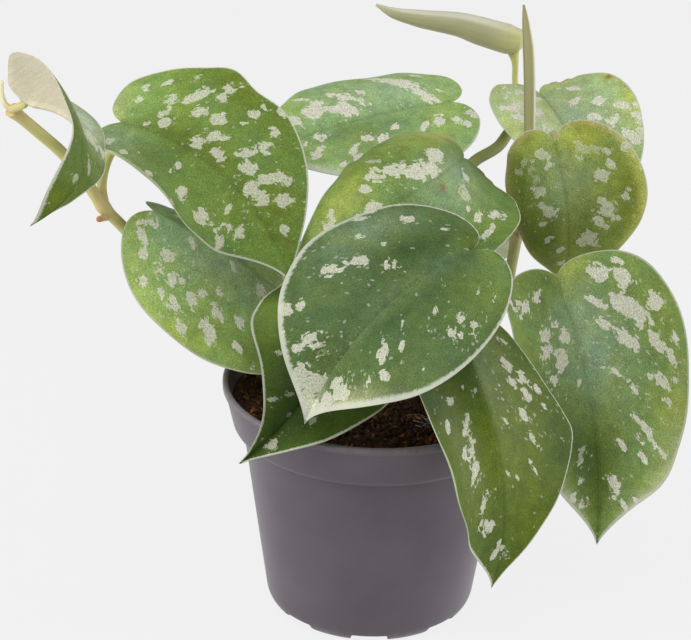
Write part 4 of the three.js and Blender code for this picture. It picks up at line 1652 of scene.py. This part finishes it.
def left_blades() -> list[Blade]:
    """The blades on the left of the pot.

    Returns:
        The upper, the hanging, the low and the curled blade.
    """
    return [
        Blade(
            "leaf_upper_left", (-99, 14, 196), Turn(-26, -35, 37), Outline(95, 38, 40, 35, 19),
            Bending(48, -49, 28, -7, -17, 3, 85), "#66803a",
            nicks=each(Nick, (1, 0.5, 0.04, 1.8), (1, 0.445, 0.035, -3.3), (1, 0.21, 0.06, -1.3)),
            washes=each(
                Wash, (CREAM, 0.1, 0.8, 0.13, 0.5, 0.4), (LEMON, 0.08, 0.6, 0.1, 0.5, 0.4),
                (SHEEN, 0.2, -0.6, 0.2, 0.6, 0.5), (FRESH, 0.25, 0.5, 0.16, 0.6, 0.5),
                (OLIVE, 0.5, 0.86, 0.12, 0.2, 0.8), (OLIVE, 0.45, 0.08, 0.3, 0.16, 0.8),
                (DEEP, 0.4, -0.3, 0.12, 0.3, 0.4), (OLIVE, 0.78, 0.4, 0.14, 0.5, 0.5),
                (BROWN, 0.88, 0.55, 0.014, 0.06, 0.9),
            ),
            patches=each(
                Patch, (0.27, 0.77, 3.2, 2.4), (0.24, 0.6, 3.3, 2.2), (0.33, 0.8, 5, 1.6),
                (0.345, 0.55, 5, 3.2), (0.33, 0.33, 4.5, 3), (0.335, 0.18, 4, 3), (0.41, 0.64, 10, 3.2),
                (0.39, 0.87, 3, 1.5), (0.455, 0.66, 6, 3), (0.43, 0.42, 5.5, 4), (0.48, 0.47, 5, 4),
                (0.53, 0.6, 2.5, 2), (0.53, 0.75, 3.5, 3), (0.485, 0.12, 6, 4), (0.505, 0.27, 5, 3.5),
                (0.53, 0.33, 4, 2.5), (0.56, 0.14, 4.5, 4.5), (0.6, 0.37, 7, 3), (0.61, 0.6, 4.5, 4.5),
                (0.64, 0.28, 6, 5), (0.59, 0.77, 4, 3.5), (0.69, 0.42, 5, 3), (0.7, 0.65, 6, 4.5),
                (0.71, 0.17, 6, 5), (0.74, 0.2, 6, 5), (0.76, 0.6, 5, 3.5), (0.84, 0.5, 3, 3),
                (0.26, 0.12, 3, 2), (0.24, -0.65, 5, 2.5), (0.33, -0.6, 5, 2.5), (0.35, -0.42, 1.8, 1.2),
                (0.45, -0.65, 5, 3.5), (0.55, -0.5, 7, 4), (0.55, -0.85, 6, 2), (0.64, -0.62, 7, 5),
                (0.68, -0.6, 3, 2), (0.74, -0.8, 7, 3), (0.775, -0.5, 6, 3), (0.7, -0.3, 4, 2),
            ),
            dust=each(Patch, (0.7, 0.4, 30, 24), (0.7, -0.6, 24, 20)), cover=0.7, lean=28.0,
            left_margin=((0, 0.35), (0.45, 0.4), (0.7, 0.7), (1, 0.6)),
            right_margin=((0, 0.5), (0.5, 1.0), (0.8, 0.9), (1, 0.6)), strays=(2, 2), seed=1,
        ),
        Blade(
            "leaf_left", (-87, 18, 158), Turn(8, -42, 36), Outline(103, 41, 43, 42, 22),
            # the light tone is partly painted light, which makes up for the shade that the upper left blade
            # casts on this one
            Bending(74, 29, -4, -16, 19, -49, 13), "#84a260", nicks=each(Nick, (-1, 0.36, 0.14, -1.2)),
            washes=each(
                Wash, (LEMON, 0.32, -0.95, 0.3, 0.3, 0.4), (SHEEN, 0.45, -0.15, 0.34, 0.3, 0.7),
                (FRESH, 0.5, -0.65, 0.14, 0.25, 0.4), (OLIVE, 0.68, -0.8, 0.14, 0.3, 0.6),
                (DEEP, 0.6, 0.7, 0.4, 0.3, 0.6), (DEEP, 0.9, -0.4, 0.12, 0.5, 0.5),
            ),
            patches=each(
                Patch, (0.2, -0.6, 8, 2.5), (0.27, -0.68, 3.5, 3), (0.325, -0.42, 5, 4),
                (0.345, -0.6, 6, 2.5), (0.385, -0.55, 5, 5), (0.33, -0.82, 5, 2.5), (0.385, -0.75, 5, 2.5),
                (0.42, -0.72, 7, 2.5), (0.455, -0.58, 7, 2.5), (0.47, -0.46, 3, 2.5),
                (0.51, -0.36, 3.5, 1.5), (0.515, -0.54, 7, 4), (0.46, -0.86, 6, 3), (0.51, -0.75, 8, 4),
                (0.585, -0.52, 5, 3), (0.635, -0.12, 5, 3), (0.52, -0.08, 4, 1.5), (0.59, -0.78, 5, 3),
                (0.63, -0.93, 2, 2),
            ),
            dust=each(Patch, (0.4, -0.6, 30, 22)), right_margin=((0, 0.5), (1, 0.6)), cover=0.92,
            strays=(16, 2), seed=2,
        ),
        Blade(
            "leaf_lower_left", (-15, -2, 136), Turn(-118, -29, -37), Outline(89, 32, 33, 29, 25),
            Bending(20, -46, -30, 32, 35, -7, -51), "#41561c",
            washes=each(
                # the deep washes are painted shade on the left half and the lower part, where the hanging
                # blade lies in shade
                Wash, (FRESH, 0.5, -0.8, 0.14, 0.25, 0.4), (DEEP, 0.82, -0.3, 0.2, 0.6, 0.8),
                (DEEP, 0.5, 0.5, 0.4, 0.5, 0.7),
            ),
            patches=each(
                Patch, (0.73, -0.35, 5, 1.2, 0.6), (0.79, -0.05, 3, 1.5, 0.6), (0.77, -0.7, 7, 1.2, 0.9),
                (0.74, 0.4, 6, 2, 0.6), (0.55, -0.5, 5, 1.5, 0.7),
            ),
            left_margin=((0, 0.5), (0.6, 0.6), (0.72, 1.0), (1, 0.7)),
            right_margin=((0, 0.6), (0.4, 0.8), (0.5, 1.1), (0.85, 1.0), (1, 0.6)), cover=0.62,
            strays=(5, 3), seed=3,
        ),
        Blade(
            "leaf_curled", (-132.1, -12.5, 212.6), Turn(-82.2, -22.7, -76.3),
            Outline(82.4, 21.3, 24, 13.9, 5.8), Bending(139, 10.4, -50.2, 4.1, -67.5, 3.2, -26.5),
            "#4d6420",
            nicks=each(
                Nick, (1, 0.35, 0.1, 1.3), (1, 0.5, 0.1, 1.1), (1, 0.59, 0.05, 3.0), (-1, 0.3, 0.1, 2.7),
                (-1, 0.48, 0.1, -3.8), (-1, 0.65, 0.1, 2.4), (-1, 0.85, 0.1, -5.3),
            ),
            washes=each(
                # the grey-green washes and the cream one over the upper part are painted sheen
                Wash, (SHEEN, 0.48, 0.5, 0.17, 0.8, 0.85), (OLIVE, 0.78, 0.2, 0.2, 0.9, 0.8),
                (SHEEN, 0.5, -0.5, 0.12, 0.4, 0.4), (CREAM, 0.46, 0.5, 0.1, 0.5, 0.45),
            ),
            patches=each(
                Patch, (0.56, 0.35, 8, 8), (0.6, 0.85, 4, 2.5), (0.7, 0.3, 6, 3, 0.7),
                (0.8, -0.2, 3, 3, 0.6),
            ),
            under="#bfb89e", left_margin=((0, 0.7), (1, 0.7)),
            right_margin=((0, 0.7), (0.7, 0.8), (1, 0.8)), cover=0.7, rib_groove=0.5, strays=(0, 0),
            seed=11,
        ),
    ]


def middle_blades() -> list[Blade]:
    """The blades over the middle of the pot.

    Returns:
        The front blade and the two that stand behind it.
    """
    return [
        Blade(
            "leaf_front", (33, -34, 167), Turn(-150, -39, -29), Outline(96, 40, 40, 42, 26),
            Bending(79, 12, 0, 26, 22, -36, -43), "#4b6136",
            washes=each(
                Wash, (SHEEN, 0.5, 0.0, 0.3, 0.14, 0.2), (SHEEN, 0.42, -0.75, 0.1, 0.22, 0.4),
                (DEEP, 0.42, -0.15, 0.16, 0.4, 0.25), (OLIVE, 0.1, -0.5, 0.1, 0.4, 0.7),
                # the deep wash at the stalk is painted shade under the lobe that curls down over it; the
                # grey-green washes are painted sheen
                (DEEP, 0.04, -0.3, 0.06, 0.2, 0.9), (DEEP, 0.37, -0.3, 0.12, 0.14, 0.6),
                (FRESH, 0.2, 0.7, 0.2, 0.35, 0.35), (DEEP, 0.6, 0.15, 0.12, 0.14, 0.45),
                (CREAM, 0.97, 0.0, 0.07, 1.0, 0.7), (CREAM, 0.8, 0.95, 0.1, 0.2, 0.5),
                (BROWN, 1.0, 0.0, 0.008, 2.0, 0.9),
            ),
            patches=each(
                Patch, (0.34, -0.72, 5, 4), (0.43, -0.5, 5, 0.9), (0.5, -0.5, 7, 4), (0.555, -0.62, 6, 4),
                (0.46, -0.3, 7, 1.5), (0.47, -0.25, 8, 1.5), (0.66, -0.75, 3.5, 3), (0.67, -0.92, 5, 2.5),
                (0.745, -0.58, 5.5, 5), (0.72, -0.45, 2, 2), (0.77, -0.78, 3, 3), (0.83, -0.75, 6, 5),
                (0.87, -0.4, 9, 8), (0.88, -0.1, 7, 6), (0.94, -0.6, 9, 7), (0.94, 0.4, 9, 7),
                (0.9, 0.8, 5, 8), (0.87, -0.92, 9, 4), (0.25, -0.55, 3, 1.5), (0.82, 0.4, 5, 5),
                (0.8, 0.7, 4, 6), (0.86, 0.6, 6, 7), (0.72, 0.72, 6, 2), (0.67, 0.7, 4, 4),
                (0.655, 0.45, 7, 3.5), (0.64, 0.32, 2.5, 2), (0.595, 0.5, 4.5, 2), (0.57, 0.3, 4, 1),
                (0.57, 0.8, 2, 1.5), (0.465, 0.68, 3.5, 3.5), (0.43, 0.63, 4, 2), (0.455, 0.75, 2, 1.5),
                (0.47, 0.4, 3.5, 1.5), (0.34, 0.6, 3.5, 1.2), (0.32, 0.8, 4, 1.5), (0.3, 0.65, 2, 1.5),
            ),
            dust=each(
                Patch, (0.8, 0.6, 34, 24), (0.8, -0.6, 34, 24), (0.45, 0.7, 20, 16), (0.5, -0.5, 24, 12),
            ),
            left_margin=((0, 0.4), (0.3, 0.7), (0.45, 1.2), (0.68, 2.6), (0.9, 2.7), (1, 2.0)),
            right_margin=((0, 0.4), (0.3, 0.8), (0.5, 1.9), (0.85, 2.2), (1, 2.0)), cover=0.7, crease_shade=0.05,
            rib_groove=0.12, patch_scale=0.86, strays=(3, 3), seed=4,
        ),
        Blade(
            "leaf_centre_back", (32, 29, 179), Turn(-154, -24, -59), Outline(99, 39, 37, 36, 25),
            Bending(125, -3, -5, -7, -11, 50, -87), "#627d3c",
            nicks=each(
                Nick, (1, 0.1, 0.014, 1.1), (1, 0.165, 0.014, 1.5), (1, 0.215, 0.018, 1.9),
                (1, 0.28, 0.03, -0.8),
            ),
            washes=each(
                Wash, (LEMON, 0.77, -0.55, 0.14, 0.4, 0.7), (TAN, 0.2, -0.9, 0.14, 0.14, 0.8),
                (LEMON, 0.3, -0.7, 0.14, 0.3, 0.5), (BROWN, 0.16, 0.98, 0.1, 0.05, 0.8),
                (SHEEN, 0.36, 0.15, 0.2, 0.4, 0.55), (BROWN, 0.44, 0.12, 0.012, 0.04, 0.9),
            ),
            patches=each(
                Patch, (0.37, -0.25, 7, 6), (0.44, -0.12, 8, 7), (0.5, -0.17, 9, 6), (0.55, -0.3, 8, 5),
                (0.6, -0.4, 8, 4), (0.55, -0.6, 6, 2, 0.6), (0.66, -0.38, 4.5, 3), (0.69, -0.1, 6, 4),
                (0.74, -0.12, 5, 2), (0.49, -0.55, 3, 1), (0.29, 0.22, 5, 3), (0.385, 0.33, 6, 4, 0.6),
                (0.39, 0.75, 5, 5), (0.43, 0.6, 5, 2.5), (0.44, 0.78, 4.5, 2), (0.465, 0.78, 4, 2),
            ),
            dust=each(Patch, (0.5, -0.2, 24, 22)), strays=(3, 3), seed=5,
        ),
        Blade(
            "leaf_top_back", (28, 70, 187), Turn(-158, -10, -29), Outline(91, 36, 37, 34, 20),
            Bending(29, 3, -4, 11, 6, -7, -71), "#86a266",
            washes=each(
                Wash, (SHEEN, 0.45, -0.3, 0.25, 0.3, 0.5), (FRESH, 0.25, 0.5, 0.2, 0.4, 0.5),
                (DEEP, 0.6, 0.2, 0.2, 0.2, 0.4), (CREAM, 0.75, 0.95, 0.1, 0.12, 0.6),
            ),
            patches=each(
                Patch, (0.4, -0.5, 14, 4), (0.35, -0.35, 12, 2.5), (0.45, -0.65, 8, 3), (0.29, -0.2, 9, 2),
                (0.27, -0.08, 4, 1), (0.32, -0.75, 3, 2.5), (0.21, -0.4, 3, 1), (0.57, -0.3, 6, 1.5),
                (0.62, -0.2, 8, 4.5), (0.66, -0.3, 7, 3), (0.71, -0.42, 6, 5), (0.78, -0.5, 6, 4),
                (0.67, -0.5, 4, 2), (0.69, -0.75, 6, 1.5), (0.49, 0.25, 3.5, 2.5), (0.545, 0.38, 4, 4),
                (0.59, 0.33, 3.5, 3), (0.315, 0.38, 5, 4), (0.39, 0.38, 5, 2), (0.25, 0.55, 3, 2.5),
                (0.24, 0.75, 3, 2.5), (0.755, 0.55, 5, 3), (0.64, 0.5, 5, 2),
            ),
            dust=each(Patch, (0.6, -0.3, 24, 20)),
            left_margin=((0, 0.5), (0.6, 0.9), (0.68, 2.2), (0.82, 1.8), (1, 0.8)), cover=1.0,
            patch_scale=1.15, strays=(4, 4), seed=6,
        ),
    ]


def right_blades() -> list[Blade]:
    """The blades on the right of the pot.

    Returns:
        The back, the round, the large and the low blade.
    """
    return [
        Blade(
            "leaf_back_right", (65, 91, 184), Turn(-58, -44, -13), Outline(80, 32, 31, 24, 16),
            Bending(70, 44, -26, 18, 15, 48, -33), "#97ad74",
            nicks=each(Nick, (1, 0.13, 0.013, 1.2), (1, 0.2, 0.016, 1.8), (1, 0.25, 0.013, 1.3)),
            washes=each(
                Wash, (SHEEN, 0.38, 0.35, 0.22, 0.5, 0.8), (LEMON, 0.5, 0.95, 0.14, 0.1, 0.6),
                (TAN, 0.18, 0.95, 0.12, 0.08, 0.8), (CREAM, 0.4, -0.5, 0.3, 0.5, 0.3),
                (BROWN, 0.12, 1.0, 0.014, 0.05, 0.9), (BROWN, 0.22, 1.0, 0.012, 0.05, 0.9),
                (BROWN, 0.4, 0.95, 0.012, 0.04, 0.9),
            ),
            patches=each(
                Patch, (0.3, 0.62, 5, 2.5), (0.44, 0.6, 4.5, 3.3), (0.485, 0.42, 4, 2.5),
                (0.53, 0.62, 4, 4), (0.5, 0.8, 6, 2.5), (0.6, 0.8, 7, 2.5), (0.22, 0.6, 1.5, 1),
                (0.43, -0.85, 2.5, 2.5), (0.42, -0.65, 6, 5), (0.42, -0.35, 4, 3), (0.28, -0.6, 6, 2),
                (0.33, -0.4, 5, 2), (0.35, -0.75, 5, 1.5), (0.47, -0.7, 3, 5), (0.28, -0.85, 4, 1),
            ),
            cover=1.0, patch_scale=1.1, strays=(4, 4), seed=7,
        ),
        Blade(
            "leaf_round_right", (67, 26, 187), Turn(69, -72, 157), Outline(74, 32, 28, 23, 16),
            Bending(48, -19, 1, 1, 12, 3, -59), "#748438", nicks=each(Nick, (-1, 0.78, 0.1, -1.8)),
            washes=each(
                # the two lemon washes at the stalk are painted light on the top lobes, which face up
                Wash, (LEMON, 0.1, 0.6, 0.18, 0.5, 0.6), (LEMON, 0.1, -0.6, 0.18, 0.5, 0.6),
                (TAN, 0.45, 1.0, 0.6, 0.1, 0.8), (TAN, 0.45, -1.0, 0.6, 0.12, 0.8),
                (TAN, 0.05, 0.85, 0.08, 0.2, 0.6), (OLIVE, 0.6, 0.25, 0.14, 0.2, 0.8),
                (OLIVE, 0.52, 0.8, 0.1, 0.12, 0.7), (SHEEN, 0.38, 0.0, 0.2, 0.4, 0.45),
                (LEMON, 0.52, 0.98, 0.2, 0.1, 0.7), (DEEP, 0.68, -0.45, 0.12, 0.5, 0.5),
                (OLIVE, 0.45, -0.7, 0.14, 0.3, 0.5),
            ),
            patches=each(
                Patch, (0.28, 0.47, 7, 4, 0.6), (0.33, 0.62, 5, 3, 0.6), (0.36, 0.7, 3, 2.5),
                (0.41, 0.66, 5, 3), (0.43, 0.5, 5, 5), (0.5, 0.77, 2.5, 2), (0.52, 0.73, 4, 3),
                (0.53, 0.45, 5, 2.5), (0.55, 0.55, 6, 4.5), (0.58, 0.52, 7, 4.5), (0.62, 0.45, 7, 4),
                (0.6, 0.68, 3, 2.5), (0.67, 0.35, 4, 1.5), (0.7, 0.4, 7, 6), (0.73, 0.27, 4, 3),
                (0.25, -0.35, 4, 5), (0.31, -0.25, 4, 3), (0.34, -0.65, 5, 3, 0.6), (0.37, -0.5, 5, 3, 0.6),
                (0.41, -0.42, 5, 3.5, 0.6), (0.4, -0.72, 4, 3, 0.6), (0.53, -0.35, 4, 4),
                (0.56, -0.25, 5, 5.5), (0.55, -0.14, 4, 1.5), (0.62, -0.4, 4, 2), (0.7, -0.38, 6, 2.5),
                (0.77, -0.2, 4, 2.5),
            ),
            cover=0.58, patch_scale=0.84, dust=each(Patch, (0.5, 0.5, 24, 20), (0.5, -0.4, 22, 20)),
            strays=(3, 3), seed=8,
        ),
        Blade(
            "leaf_right", (70, 16, 135), Turn(-63, -67, 16), Outline(110, 46, 44, 37, 12),
            Bending(44, -17, 15, 22, 11, 45, 39), "#72894a", nicks=each(Nick, (1, 0.75, 0.07, -2.7)),
            washes=each(
                Wash, (LEMON, 0.08, 0.6, 0.12, 0.5, 0.5), (SHEEN, 0.42, 0.05, 0.26, 0.4, 0.6),
                (OLIVE, 0.84, 0.0, 0.14, 0.4, 0.7), (DEEP, 0.74, -0.15, 0.12, 0.4, 0.6),
                (CREAM, 0.8, 1.0, 0.18, 0.16, 0.5), (CREAM, 0.8, -1.0, 0.18, 0.16, 0.5),
                (LEMON, 0.62, 0.85, 0.1, 0.2, 0.5), (OLIVE, 0.2, -0.5, 0.12, 0.4, 0.4),
                (DEEP, 0.62, -0.6, 0.12, 0.3, 0.4),
            ),
            patches=each(
                Patch, (0.25, 0.62, 6, 5), (0.32, 0.72, 8, 4), (0.28, 0.85, 4, 1.8), (0.33, 0.32, 8, 2),
                (0.42, 0.82, 6, 4), (0.4, 0.55, 14, 6), (0.4, 0.27, 6, 2.5), (0.46, 0.42, 9, 4),
                (0.49, 0.68, 7, 3), (0.52, 0.8, 4, 2.5), (0.49, 0.88, 3, 1.5), (0.56, 0.67, 7, 3),
                (0.56, 0.85, 2.5, 1), (0.6, 0.75, 5, 2), (0.58, 0.42, 6, 1.5), (0.53, 0.25, 5, 1.2),
                (0.65, 0.45, 4, 1.5), (0.66, 0.55, 6, 2), (0.69, 0.5, 4, 2), (0.69, 0.68, 5, 1.5),
                (0.7, 0.8, 5, 2), (0.73, 0.6, 4, 2), (0.72, 0.32, 4, 2), (0.27, -0.52, 6, 2.5),
                (0.325, -0.66, 5, 2.5), (0.35, -0.25, 3.5, 2.5), (0.4, -0.15, 5, 4), (0.4, -0.4, 5, 3),
                (0.45, -0.42, 8, 3), (0.47, -0.25, 8, 5), (0.515, -0.42, 4, 4), (0.55, -0.1, 2.5, 1.2),
                (0.73, -0.3, 5, 2.5, 0.6),
            ),
            dust=each(Patch, (0.5, 0.6, 34, 30), (0.42, -0.35, 24, 20)),
            left_margin=((0, 0.5), (0.6, 0.7), (0.8, 1.2), (1, 0.8)),
            right_margin=((0, 0.5), (0.6, 0.7), (0.8, 1.2), (1, 0.8)), cover=1.0, crease_shade=0.1,
            patch_scale=1.08, strays=(3, 3), seed=9,
        ),
        Blade(
            "leaf_lower_right", (32, -53, 136), Turn(-60, -74, -4), Outline(96, 38, 38, 34, 31),
            Bending(57, -10, 0, -9, 29, 7, 77), "#475b06",
            nicks=each(Nick, (1, 0.28, 0.06, -4.0), (1, 0.42, 0.08, 3.2), (1, 0.54, 0.025, -0.8)),
            washes=each(
                # the grey-green wash is painted sheen on the upper part that faces the light; the olive and
                # deep washes are painted shade on the lower part, which faces down, along the left margin
                # and near the soil
                Wash, (SHEEN, 0.28, 0.4, 0.12, 0.6, 0.2), (OLIVE, 0.72, 0.2, 0.3, 0.8, 0.9),
                (DEEP, 0.58, 0.9, 0.1, 0.25, 0.6), (DEEP, 0.37, -0.85, 0.12, 0.3, 0.9),
                (DEEP, 0.85, -0.2, 0.12, 0.5, 0.5), (OLIVE, 0.6, -0.5, 0.12, 0.4, 0.5),
            ),
            patches=each(
                Patch, (0.3, 0.8, 4, 1.5), (0.35, 0.62, 5, 2.5), (0.4, 0.75, 4.5, 3), (0.39, 0.55, 3, 2.5),
                (0.44, 0.65, 3.5, 2.5), (0.44, 0.85, 3.5, 2.5), (0.48, 0.2, 3, 1.5), (0.48, 0.48, 5, 2.5),
                (0.48, 0.8, 2, 1.5), (0.55, 0.5, 5, 2), (0.65, 0.1, 3, 1), (0.66, 0.25, 2, 1),
                (0.63, 0.5, 5, 1), (0.38, -0.45, 2.5, 2.5), (0.33, -0.25, 2, 1.2), (0.34, -0.1, 2, 1.5),
                (0.45, -0.55, 4, 2), (0.46, -0.3, 6, 1.8), (0.53, -0.3, 7, 2), (0.53, -0.4, 4, 2),
                (0.6, -0.35, 7, 3), (0.7, -0.35, 7, 1.8), (0.71, -0.5, 2, 0.8),
            ),
            dust=each(Patch, (0.42, 0.6, 24, 16)), right_margin=((0, 0.45), (0.7, 0.9), (1, 0.7)),
            cover=0.72, crease_shade=0.05, patch_scale=1.2, lean=64.0, strays=(2, 2), seed=10,
        ),
    ]


def rear_blades() -> list[Blade]:
    """The blades behind the pot, marked by chance alone.

    Returns:
        Three blades.
    """
    return [
        Blade(
            "leaf_rear_left", (-48, 70, 137), Turn(128, -38, -4), Outline(88, 34, 34, 31, 22),
            Bending(50, 8, 6, 10, 4, -20, -25), "#5b8431",
            washes=each(Wash, (LEMON, 0.1, 0.0, 0.16, 1.0, 0.5), (OLIVE, 0.8, 0.2, 0.2, 0.6, 0.5)), seed=12,
        ),
        Blade(
            "leaf_rear_right", (28, 76, 130), Turn(92, -50, 5), Outline(84, 33, 33, 30, 21),
            Bending(50, -8, -5, 9, 5, -22, -18), "#557d2e",
            washes=each(Wash, (SHEEN, 0.4, -0.3, 0.2, 0.4, 0.5), (DEEP, 0.8, 0.0, 0.2, 0.6, 0.5)), seed=13,
        ),
        Blade(
            "leaf_rear_low", (-6, 56, 112), Turn(98, -36, 3), Outline(80, 30, 30, 29, 20),
            Bending(50, 4, 3, 12, 4, -18, -24), "#4b6f26",
            washes=each(Wash, (FRESH, 0.2, 0.4, 0.2, 0.5, 0.5), (DEEP, 0.7, -0.4, 0.2, 0.5, 0.5)), seed=14,
        ),
    ]


def grown_blades() -> list[Blade]:
    """All grown blades, where they stand and how they are bent.

    Returns:
        Fourteen blades, left to right, the rear ones last.
    """
    return left_blades() + middle_blades() + right_blades() + rear_blades()


def rolled_leaves() -> list[RolledLeaf]:
    """The two new leaves at the top.

    Returns:
        Both, with their spines and radii.
    """
    return [
        RolledLeaf(
            "new_leaf_left",
            (
                (58.5, 113, 198), (57, 113, 198.4), (52, 113.4, 199.2), (40, 115, 202), (32, 116, 204),
                (15, 117, 206), (4, 118, 208), (-3, 119, 211),
            ),
            (2.6, 5.6, 7.0, 6.6, 5.7, 4.1, 2.5, 0.6), 200.0, "#8f906a", "#bcbba6", "#b2ad8f", "#b1b274",
            (0.0, 0.0, 1.0),
        ),
        RolledLeaf(
            "new_leaf_up",
            (
                (58.4, 41, 178), (58.3, 43, 182), (57.7, 53, 204), (56.9, 58, 215), (55.6, 62, 224),
                (54.6, 65, 230),
            ),
            (1.9, 2.4, 2.6, 2.5, 1.6, 0.5), 60.0, "#8a895c", "#babda8", "#7f7a50", "#96985f",
            (1.0, 0.0, 0.0),
        ),
    ]


def vines() -> list[Vine]:
    """The three stems, from the foot in the soil up, with their stalks.

    Returns:
        Left, centre and right.
    """
    left_tip, left_knot = (-139, -2, 206), (-107, 14, 161)
    right_low, right_fork, right_tip = (36, 1, 109), (56, 57, 135), (61, 101, 168)
    return [
        Vine(
            "vine_left",
            (
                (-30, 13, 76), (-30, 13, 88), (-42, 14, 97), (-56, 15, 103), (-74, 18, 121),
                (-100, 20, 150), left_knot, (-114, 12, 173), (-122, 9, 185), (-130, 4, 195), left_tip,
            ),
            ((-90, 20, 138), left_knot, left_tip),
            (
                Stalk(((-90, 20, 138), (-92, 24, 143)), "leaf_left"),
                Stalk((left_knot, (-108, 19, 168), (-106, 22, 177)), "leaf_upper_left", 1.8),
                Stalk((left_tip, (-136, -7, 209)), "leaf_curled", 1.3),
                Stalk(
                    (left_tip, (-141.6, -1, 208), (-142.9, 0, 212.5), (-142.7, 1, 216.5)), radius=0.9,
                    tone="#cfcaa6",
                ),
                Stalk(
                    ((-105.6, 13, 157), (-108.4, 11, 157), (-109.2, 10.8, 156.2)), radius=1.0,
                    tone="#a8623a",
                ),
            ),
            young="#b8b470", old="#999e58", flush="#cba881", flush_reach=8.0, flush_strength=0.45,
        ),
        Vine(
            "vine_centre",
            ((0, 20, 76), (0, 20, 90), (2, 32, 116), (15, 40, 134), (21, 58, 150), (24, 72, 165)),
            ((2, 32, 116), (15, 40, 134), (24, 72, 165)),
            (
                Stalk(((1, 26, 104), (-8, 12, 112)), "leaf_lower_left"),
                Stalk(((2, 32, 116), (-2, 42, 114)), "leaf_rear_low"),
                Stalk(((15, 40, 134), (-8, 50, 129), (-32, 56, 129)), "leaf_rear_left"),
                Stalk(((15, 40, 134), (23, 56, 137)), "leaf_rear_right"),
                Stalk(((24, 72, 165), (27, 76, 172)), "leaf_top_back"),
            ),
        ),
        Vine(
            "vine_right",
            (
                (20, 14, 76), (20, 14, 90), right_low, (49, 23, 119), (54, 45, 128), right_fork,
                (57, 73, 145), (59, 87, 157), right_tip,
            ),
            (right_low, (49, 23, 119), right_fork, (59, 87, 157), right_tip),
            (
                Stalk(((37, 2, 110), (39, -14, 134), (38, -23, 146), (37, -28, 154)), "leaf_front"),
                Stalk((right_low, (39, -20, 117)), "leaf_lower_right"),
                Stalk(((49, 23, 119), (58, 33, 117)), "leaf_right"),
                Stalk((right_fork, (59, 44, 154), (61, 37, 166), (63, 33, 174)), "leaf_round_right"),
                Stalk((right_fork, (57, 52, 148), (58, 46, 162)), "new_leaf_up"),
                Stalk(
                    ((61, 99, 168.5), (53, 83, 170), (48, 72, 167.8), (39, 52, 170), (33, 38, 171.5)),
                    "leaf_centre_back", 2.3, tone="#7b8338",
                ),
                Stalk((right_tip, (62, 105, 171)), "leaf_back_right"),
                Stalk(
                    (right_tip, (58, 110, 172), (56, 112, 181), (55.5, 112, 190), (53.5, 112.6, 198)),
                    radius=1.3, tone="#b3b56e", flare=1.7,
                ),
            ),
        ),
    ]


def main() -> None:
    """Build the plant piece by piece, then the studio."""
    logging.basicConfig(level=logging.INFO, format="%(name)s %(message)s")
    pot = NurseryPot()
    pot.build(MouldedPlastic().make())
    mix = PottingMix(pot)
    mix.build(Peat("milled_peat").make())
    mix.build_crumbs(Peat("peat_crumb", bit=2.6, bright_share=0.2).make())
    bark = Peat("bark_fibre", "#5b3a22", "#8a5a34", "#b5824e").make()
    mix.build_fibres("bark_fibres", bark, mix.fibres, 21)
    hair = Peat("root_hair", "#8d8488", "#a39a9c", "#c9c2c2").make()
    mix.build_fibres("pale_threads", hair, mix.threads, 22, tuft=True)

    leaves = {leaf.node: leaf for leaf in (*grown_blades(), *rolled_leaves())}
    skins = SatinFace().make(), PaleFace().make()
    young = TonedSkin("young_leaf_wax", streak=1.0, streak_depth=0.07, roughness=0.4).make()
    for leaf in leaves.values():
        leaf.build(skins if isinstance(leaf, Blade) else young)
    stem = TonedSkin("green_stem_wax").make()
    for vine in vines():
        vine.build(stem, leaves)

    Studio().build()


if __name__ == "__main__":
    main()
